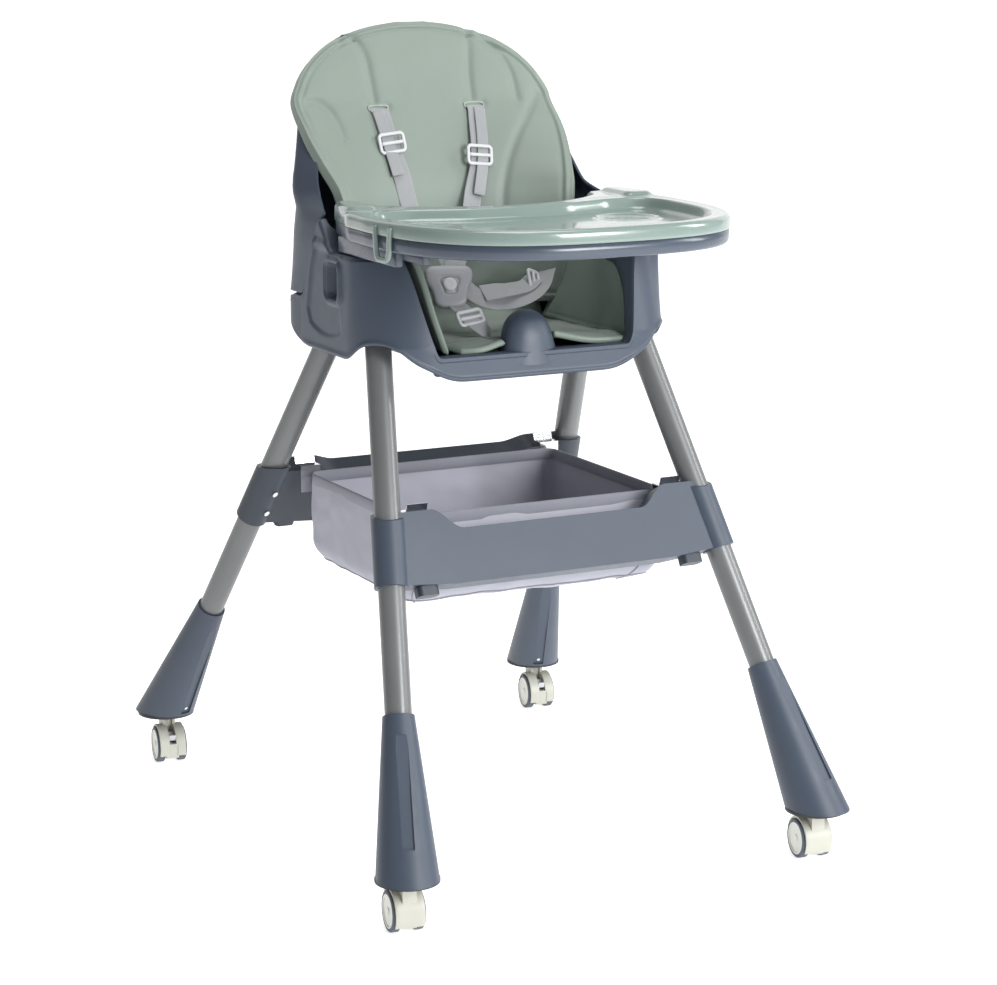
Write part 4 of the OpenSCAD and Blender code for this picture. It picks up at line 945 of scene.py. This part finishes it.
def make_buckle():
    """Shield-shaped buckle body, domed in front, wider at the shoulders."""
    outline = [(-30, 22), (-26, 27), (-12, 29), (0, 29.5), (12, 29), (26, 27), (30, 22), (29, 8), (24, -2),
               (21, -14), (19, -22), (12, -26), (0, -27), (-12, -26), (-19, -22), (-21, -14), (-24, -2),
                   (-29, 8)]
    ring = resample(spline(outline + [outline[0]], 120)[:-1], 120, closed=True)
    centre = np.array([-68.0, -66.0, 713.0])
    ex = np.array([0.95, -0.30, 0.0]) / np.linalg.norm([0.95, -0.30, 0.0])
    out = np.array([-0.12, -0.86, 0.49])
    out -= ex * (out @ ex)
    out /= np.linalg.norm(out)
    ez = np.cross(ex, out) * -1
    if ez[2] < 0:
        ez = -ez
    rows = []
    for k, d in ((0.90, -7), (0.97, -6.6), (1, -5.0), (1, 1.0), (0.985, 3.2), (0.95, 4.6), (0.88, 5.4),
        (0.75, 6.0),
                 (0.55, 6.5), (0.45, 6.7), (0.42, 6.0), (0.40, 5.2), (0.36, 5.2), (0.34, 6.6), (0.2, 7.2),
                     (0.02, 7.4)):
        rows.append(centre + ring[:, :1] * k * ex + ring[:, 1:] * k * ez + out * d)
    p = np.array(rows)
    obj = grid("buckle_body", p, closed_u=True)
    return obj, centre, ex, ez, out


buckle, bc, bx, bz, bn = make_buckle()
piece(buckle, BUCKLE, "chair", "harness_buckle", slot="pale_plastic")
press = []
for k, (r, d) in enumerate(((8.6, 3.0), (8.6, 7.4), (8.0, 8.4), (6.0, 8.9), (3.0, 8.6), (0.1, 8.4))):
    a = np.linspace(0, 2 * math.pi, 48, endpoint=False)
    press.append(bc + bx * (r * np.cos(a))[:, None] + bz * (r * np.sin(a) + 2)[:, None] + bn * d)
press_obj = grid("buckle_press", np.array(press), closed_u=True)
piece(press_obj, WHITE, "buckle_release", "buckle_button", slot="pale_plastic")


# ------------------------------------------------------------------ tray
TOP = COVER_HI[2] - 6.0
DECK = TOP - 18.0
BASE = TRAY_HI[2] - 17.7
W0, F0, MY = 227.0, 386.0, -146.0
LOBE = (207.0, -8.0)


def arc(c, r, a0, a1, n):
    a = np.radians(np.linspace(a0, a1, n))
    return [(c[0] + r * math.cos(t), c[1] + r * math.sin(t)) for t in a]


def tray_outline():
    front = []
    for t in np.radians(np.linspace(180, 360, 241)):
        c, s = math.cos(t), math.sin(t)
        front.append((W0 * np.sign(c) * abs(c) ** 0.72, MY + (F0 + MY) * np.sign(s) * abs(s) ** 0.72))
    lobe = [(225, -100)] + arc((LOBE[0] - 20, LOBE[1] - 20), 20, 0, 90, 9) + arc((168, LOBE[1] - 14), 14,
        90, 150, 7)
    belly = [(x, -104 + 64 * (abs(x) / 150) ** 2.4) for x in np.linspace(150, -150, 61)]
    right = front[1:] + [(225.5, -120)] + lobe + belly + [(-x, y) for x, y in lobe[::-1]] + [(-225.5, -120)]
    p = resample(right, 560, closed=True)
    for _ in range(5):
        p = (np.roll(p, 1, axis=0) + 2 * p + np.roll(p, -1, axis=0)) / 4
    return p


def well_outline(inset=24.0):
    w, f = W0 + 2 - inset, F0 + MY - inset
    front = []
    for t in np.radians(np.linspace(180, 360, 161)):
        c, s = math.cos(t), math.sin(t)
        front.append((w * np.sign(c) * abs(c) ** 0.68, MY + f * np.sign(s) * abs(s) ** 0.68))
    back = [(w - 2, -132), (w - 10, -110), (w - 26, -98), (140, -97), (105, -108), (70, -119), (0, -123)]
    pts = front[1:] + back + [(-x, y) for x, y in back[::-1][1:]]
    p = resample(pts, 420, closed=True)
    for _ in range(12):
        p = (np.roll(p, 1, axis=0) + 2 * p + np.roll(p, -1, axis=0)) / 4
    return p


def offset(ring, k):
    """A closed anticlockwise ring moved inwards by k."""
    t = np.roll(ring, -1, axis=0) - np.roll(ring, 1, axis=0)
    t /= np.linalg.norm(t, axis=1, keepdims=True)
    return ring + np.stack([-t[:, 1], t[:, 0]], axis=1) * k


def inside(points, ring):
    x, y = points[:, 0], points[:, 1]
    hit = np.zeros(len(points), bool)
    for (x0, y0), (x1, y1) in zip(ring, np.roll(ring, -1, axis=0)):
        cross = (y0 > y) != (y1 > y)
        hit ^= cross & (x < (x1 - x0) * (y - y0) / (y1 - y0 + 1e-12) + x0)
    return hit


def fill(rings, outer, step, keep=None):
    """Triangles over the area inside outer, with the given rings as rows of points and a grid elsewhere."""
    from mathutils.geometry import delaunay_2d_cdt

    lo, hi = outer.min(axis=0), outer.max(axis=0)
    gx, gy = np.meshgrid(np.arange(lo[0], hi[0], step), np.arange(lo[1], hi[1], step))
    gx[1::2] += step / 2
    g = np.stack([gx.ravel(), gy.ravel()], axis=1)
    g = g[inside(g, outer)]
    for r in rings:
        g = g[line_distance(g, np.vstack([r, r[:1]])) > step * 0.55]
    pts = np.vstack(rings + [g])
    n = len(rings[0])
    edges = [(i, (i + 1) % n) for i in range(n)]
    v, _, f, *_ = delaunay_2d_cdt([Vector(p) for p in pts.tolist()], edges, [], 1, 1e-6)
    v = np.array([tuple(p) for p in v])
    f = [list(t) for t in f if len(t) == 3]
    return v, f, n


tray_ring = tray_outline()
if np.sum(tray_ring[:, 0] * np.roll(tray_ring[:, 1], -1) - tray_ring[:, 1] * np.roll(tray_ring[:, 0],
    -1)) < 0:
    tray_ring = tray_ring[::-1]
well_ring = well_outline()
if np.sum(well_ring[:, 0] * np.roll(well_ring[:, 1], -1) - well_ring[:, 1] * np.roll(well_ring[:, 0],
    -1)) < 0:
    well_ring = well_ring[::-1]
CUPS = ((118.0, -190.0, 40.0, 1.6), (-142.0, -176.0, 34.0, 1.2))


def tray_height(p):
    d = line_distance(p, np.vstack([tray_ring, tray_ring[:1]]))
    dw = line_distance(p, np.vstack([well_ring, well_ring[:1]]))
    dw = np.where(inside(p, well_ring), -dw, dw)
    r = 8.0
    z = np.full(len(p), TOP)
    z -= r * (1 - np.sqrt(np.clip(1 - (1 - np.clip(d / r, 0, 1)) ** 2, 0, 1)))
    for s in (-1, 1):
        q = rounded_box(p[:, 0] * s - 196, p[:, 1] + 52, 46, 84, 16)
        z += 5.0 * smoothstep(2.0, -9.0, q)
    z -= 1.2 * smoothstep(20.0, 4.0, dw) * (dw > 0)
    z = np.where(dw < 0, np.minimum(z, DECK + 4 + 14 * (1 - smoothstep(0.0, 9.0, -dw)) - 1.2), z)
    z += 0.8 * np.clip(-dw - 20, 0, 60) / 60 * (dw < 0)
    for cx, cy, cr, cd in CUPS:
        c = np.hypot(p[:, 0] - cx, p[:, 1] - cy) - cr
        z += 1.5 * np.exp(-((c / 3.2) ** 2)) - cd * smoothstep(0, -6, c)
    return z


def make_tray_top():
    rings = [offset(tray_ring, k) for k in (0, 0.25, 0.9, 2.0, 3.6, 5.6, 8.0)]
    v, f, n = fill(rings + [offset(well_ring, k) for k in (-1.5, 0.5, 2.0, 4.0, 6.0, 8.5)], tray_ring, 3.2)
    z = tray_height(v)
    z[:n] = TOP - 8.0
    verts = np.column_stack([v, z])
    rows = [verts[:n]]
    base = len(verts)
    extra = []
    for k, h in ((-0.2, DECK + 4), (0.0, DECK + 1.2), (0.6, DECK + 0.3), (1.6, DECK), (8.0, DECK)):
        extra.append(np.column_stack([offset(tray_ring, k), np.full(n, h)]))
    faces = [t for t in f]
    prev = list(range(n))
    for e, ring in enumerate(extra):
        cur = [base + e * n + i for i in range(n)]
        for i in range(n):
            j = (i + 1) % n
            faces.append([prev[i], cur[i], cur[j], prev[j]])
        prev = cur
    return add("tray_cover", np.vstack([verts] + extra), faces)


tray_cover = make_tray_top()
piece(tray_cover, SAGE_TRAY, "tray_cover", "tray_top", slot="tray_plastic")


def latch(side):
    """Loop that hangs from the cover's side over the base's pull."""
    cy = -208.0
    path = []
    for a, b in ((-18, 12), (-17, 4), (-15, -18), (-13, -25), (-9, -28), (9, -28), (13, -25), (15, -18),
        (17, 4), (18, 12)):
        y = cy + a
        path.append((side * float(edge_x(y)) + side * 1.2, y, DECK + b))
    obj = sweep("loop", resample(path, 70), [(-3.6, -1.6), (-3.6, 1.4), (-2.4, 2.6), (2.4, 2.6),
        (3.6, 1.4), (3.6, -1.6)],
                up=(side, -0.25, 0))
    return obj


def edge_x(y):
    """Half width of the tray at y."""
    r = tray_ring[tray_ring[:, 0] > 60]
    r = r[np.argsort(r[:, 1])]
    return np.interp(y, r[:, 1], r[:, 0])


latches = join("tray_latches", [latch(-1), latch(1)])
piece(latches, SAGE_TRAY, "tray_cover", slot="tray_plastic")


def make_tray_base():
    outer = offset(tray_ring, 1.5)
    rows = []
    for k, h in ((9, DECK - 0.4), (0.0, DECK - 0.4), (0.0, DECK - 8), (0.4, BASE + 4), (1.4, BASE + 1.4),
        (3.2, BASE),
                 (8, BASE), (9, BASE + 1), (9, BASE + 14)):
        rows.append(np.column_stack([offset(outer, k), np.full(len(outer), h)]))
    wall = grid("wall", np.array(rows), closed_u=True)
    inner = offset(outer, 9)
    v, f, n = fill([inner], inner, 9.0)
    plate = add("plate", np.column_stack([v, np.full(len(v), BASE + 14)]), [t[::-1] for t in f])
    parts = [wall, plate]
    for s in (-1, 1):
        x, y0, y1 = s * 190.0, -216.0, -48.0
        for x0, x1 in ((x - 23, x - 13), (x + 13, x + 23)):
            ring = np.array([(x0, y0), (x1, y0), (x1, y1), (x0, y1)])
            low = ARM_Z + 0.8
            verts = [(a, b, low) for a, b in ring] + [(a, b, BASE + 2) for a, b in ring]
            o = add("runner", verts, [(3, 2, 1, 0), (4, 5, 6, 7), (0, 1, 5, 4), (1, 2, 6, 5),
                (2, 3, 7, 6), (3, 0, 4, 7)])
            mod(o, "BEVEL", width=2.0 * MM, segments=3)
            parts.append(o)
    return join("tray_frame", parts)


tray_frame = make_tray_base()
piece(tray_frame, SLATE_GLOSS, "tray", "tray_base", slot="shell_plastic")


# ------------------------------------------------------------------ basket
def make_basket():
    """Cloth tub: soft walls that bow a little, rolled bottom edges, hanging floor."""
    lo, hi = BASKET_LO, BASKET_HI
    cx, cy = (lo[0] + hi[0]) / 2, (lo[1] + hi[1]) / 2
    hw, hd, dep = (hi[0] - lo[0]) / 2, (hi[1] - lo[1]) / 2, hi[2] - lo[2]
    n = 480

    def ring(inset, r):
        w, d = hw - inset, hd - inset
        pts = arc((w - r, d - r), r, 0, 90, 12) + arc((-w + r, d - r), r, 90, 180, 12)
        pts += arc((-w + r, -d + r), r, 180, 270, 12) + arc((w - r, -d + r), r, 270, 360, 12)
        return resample(pts, n, closed=True)

    prof = []
    for t in np.linspace(0, 1, 34):
        prof.append((1.6 * math.sin(math.pi * t) * -1 + 1.5, hi[2] - t * (dep - 30), 16))
    for a in np.radians(np.linspace(5, 90, 12)):
        prof.append((1.5 + 24 * (1 - math.cos(a)), lo[2] + 30 - 28 * math.sin(a), 16 + 10 * math.sin(a)))
    for t in np.linspace(0.05, 1, 20):
        prof.append((25.5 + t * (hd - 40), lo[2] + 2 - 1.2 * math.sin(math.pi * min(1, t * 1.2) / 2),
            26 * (1 - t) + 2))
    rows, length = [], [0.0]
    for inset, z, r in prof:
        p = ring(inset, r)
        rows.append(np.column_stack([p[:, 0] + cx, p[:, 1] + cy, np.full(n, z)]))
    p = np.array(rows)
    for j in range(1, len(prof)):
        length.append(length[-1] + math.hypot(prof[j][0] - prof[j - 1][0], prof[j][1] - prof[j - 1][1]))
    du, dv = np.gradient(p, axis=1), np.gradient(p, axis=0)
    nrm = np.cross(du, dv)
    nrm /= np.maximum(np.linalg.norm(nrm, axis=2, keepdims=True), 1e-9)
    nrm *= -1 if nrm[5, n // 8 * 0][0] < 0 else 1
    depth = np.array(length)[:, None]
    wob = np.array([[noise.noise(Vector((q[0] * 0.012, q[1] * 0.012, q[2] * 0.022))) +
                     0.45 * noise.noise(Vector((q[0] * 0.035 + 9, q[1] * 0.035,
                         q[2] * 0.05))) for q in row] for row in p])
    amp = 3.0 * smoothstep(2, 34, depth) * (1 - 0.5 * smoothstep(110, 200, depth))
    p = p + nrm * (wob * amp)[:, :, None]
    s = np.linspace(0, 1, n, endpoint=False) * (4 * (hw + hd))
    uv = np.array([(a * MM, b * MM) for b in length for a in s])
    obj = grid("basket_tub", p, closed_u=True, flip=True, uv=uv)
    mod(obj, "SOLIDIFY", thickness=1.4 * MM, offset=0)
    # hem tape inside and out, folded over the top edge
    top = p[0]
    tape_path = resample(top, n, closed=True)
    outward = nrm[0]
    prof2 = [(-1.0, 1.2), (-13.0, 1.5), (-13.2, 1.0), (-1.4, 0.4), (1.0, -0.2), (-1.4, -0.9),
        (-13.2, -1.4), (-13.0, -1.9),
             (-1.0, -1.7), (1.4, -0.8), (1.6, 0.2)]
    z = np.array([0, 0, 1.0])
    pts = tape_path[:, None] + outward[:, None] * np.array([b for a, b in prof2])[None, :, None] + \
        z * np.array([a for a, b in prof2])[None, :, None]
    uv2 = np.array([(s[i] * MM, a * MM) for i in range(n) for a, b in prof2])
    tape = add("basket_hem", pts.reshape(-1, 3), grid_faces(n, len(prof2), closed_u=True, closed_v=True), uv2)
    # corner seams and the seam round the floor
    seams_ = []
    for k in range(4):
        i = int((k * n / 4 + n * 0.015) % n)
        col = [q + o * 1.0 for q, o in zip(p[2:44, i], nrm[2:44, i])]
        seams_.append(sweep("seam", resample(col, 60), circle(1.1, 6)))
    row = 40
    seams_.append(sweep("seam", p[row] + nrm[row] * 0.9, circle(1.1, 6), closed=True))
    return obj, tape, join("basket_seams", seams_)


basket, hem, basket_seams = make_basket()
piece(basket, BASKET_CLOTH, "chair", "basket", slot="basket_cloth")
piece(hem, BASKET_TAPE, "chair", slot="basket_cloth")
me = basket_seams.data
layer = me.uv_layers.new(name="cloth")
piece(basket_seams, BASKET_TAPE, "chair", slot="basket_cloth")
lo, hi = BASKET_LO * MM, BASKET_HI * MM

# ------------------------------------------------------------------ frame and casters from the CAD nodes
# material and bevel width for each CAD node; the darker slate on the rear crossbar and the crossbar plugs is
# painted shade
FINISH_AND_SHADE = [
    ("upper_tube", TUBE, 0.0), ("lower_tube", TUBE, 0.0), ("front_crossbar", SLATE, 4.0),
        ("rear_crossbar", SLATE_SHADED, 1.5),
    ("crossbar_plugs", SLATE_SHADED, 1.0), ("frame_screws", CHROME, 0.3), ("foot_shell", SLATE, 1.2),
    ("foot_base", BLACK, 0.8), ("basket_clips", CHROME, 0.3), ("caster_hood", CREAM, 0.8),
        ("axle", CHROME, 0.2),
    ("hubs", CREAM, 0.6), ("tyres", TREAD, 0.8), ("brake_lever", WHITE, 0.5), ("recline_pins", SLATE, 0.3),
]
for name, obj in NODES.items():
    for prefix, m, width in FINISH_AND_SHADE:
        if name.startswith(prefix):
            paint(obj, m)
            if width:
                mod(obj, "BEVEL", width=width * MM, segments=3, limit_method="ANGLE",
                    angle_limit=math.radians(40))
            obj.data.polygons.foreach_set("use_smooth", [True] * len(obj.data.polygons))

# rounded covers of the caster hoods, slotted for the stem and the lever
JOINTS = {j["name"]: j for j in frame["joints"]}
for tag in ("fl", "fr", "rl", "rr"):
    lo, hi = box_mm("axle_" + tag)
    centre = (lo + hi) / 2
    axis = np.array(JOINTS["roll_" + tag]["axis"], float)
    axis /= np.linalg.norm(axis)
    stem = np.array(JOINTS["swivel_" + tag]["pos_m"], float) / MM
    ahead = np.array([stem[0] - centre[0], stem[1] - centre[1], 0.0])
    ahead -= axis * (ahead @ axis)
    ahead /= np.linalg.norm(ahead)
    covers = []
    for u0, u1, a0, a1 in ((-18.2, 18.2, -30, 62), (-18.2, -6.5, 62, 112), (6.5, 18.2, 62, 112),
                           (-18.2, -6.5, 112, 205), (6.5, 18.2, 112, 205)):
        a = np.radians(np.linspace(a0, a1, 40))
        us = np.linspace(u0, u1, 8)
        pts = np.array([[centre + axis * u + 27.6 * (ahead * math.cos(t) + np.array([0, 0, 1]) * math.sin(t))
                         for u in us] for t in a])
        cover = grid("cover", pts)
        mod(cover, "SOLIDIFY", thickness=2.0 * MM, offset=0)
        mod(cover, "BEVEL", width=0.7 * MM, segments=2, limit_method="ANGLE", angle_limit=math.radians(50))
        covers.append(cover)
    piece(join("caster_cover_" + tag, covers), CREAM, "caster_" + tag, slot="pale_plastic")

# ------------------------------------------------------------------ floor and light
sweep_up = [(-9000.0, 0.0), (6000.0, 0.0)] + [(6000 + 3000 * math.sin(a), 3000 * (1 - math.cos(a)))
                                              for a in np.linspace(0.1, math.pi / 2, 14)] + [(9000.0, 9000.0)]
floor = grid("floor", np.array([[(x, y, z) for x in (-9000.0, 9000.0)] for y, z in sweep_up]))
floor.rotation_euler[2] = math.radians(-27)
floor_m, nt, bsdf = material("floor_paint", (0.93, 0.93, 0.935), 0.6)
nt.links.new(ramp(nt, noise_node(nt, coords(nt, 1.0), 1.2, 3.0), (0.925, 0.925, 0.93), (0.935, 0.935, 0.94)),
             bsdf.inputs["Base Color"])
bsdf.inputs["Emission Color"].default_value = (1, 1, 1, 1)
bsdf.inputs["Emission Strength"].default_value = 0.62
paint(floor, floor_m)

world = bpy.data.worlds.new("studio")
bpy.context.scene.world = world
world.use_nodes = True
world.node_tree.nodes["Background"].inputs["Color"].default_value = (1, 1, 1, 1)
world.node_tree.nodes["Background"].inputs["Strength"].default_value = 0.34


def softbox(name, place, target, size, power, spread=math.radians(150)):
    data = bpy.data.lights.new(name, "AREA")
    data.shape = "RECTANGLE"
    data.size, data.size_y = size
    data.energy = power
    data.spread = spread
    obj = bpy.data.objects.new(name, data)
    bpy.context.scene.collection.objects.link(obj)
    obj.location = place
    obj.rotation_euler = (Vector(target) - Vector(place)).to_track_quat("-Z", "Y").to_euler()
    return obj


softbox("key", (1.1, -3.6, 1.7), (0, -0.1, 0.5), (1.4, 1.8), 92)
softbox("side", (2.8, -1.4, 2.0), (0, -0.1, 0.6), (0.8, 1.6), 26)
softbox("top", (0.1, -0.3, 3.2), (0, -0.1, 0.7), (1.6, 1.6), 24)
bpy.context.scene.view_settings.view_transform = "Standard"
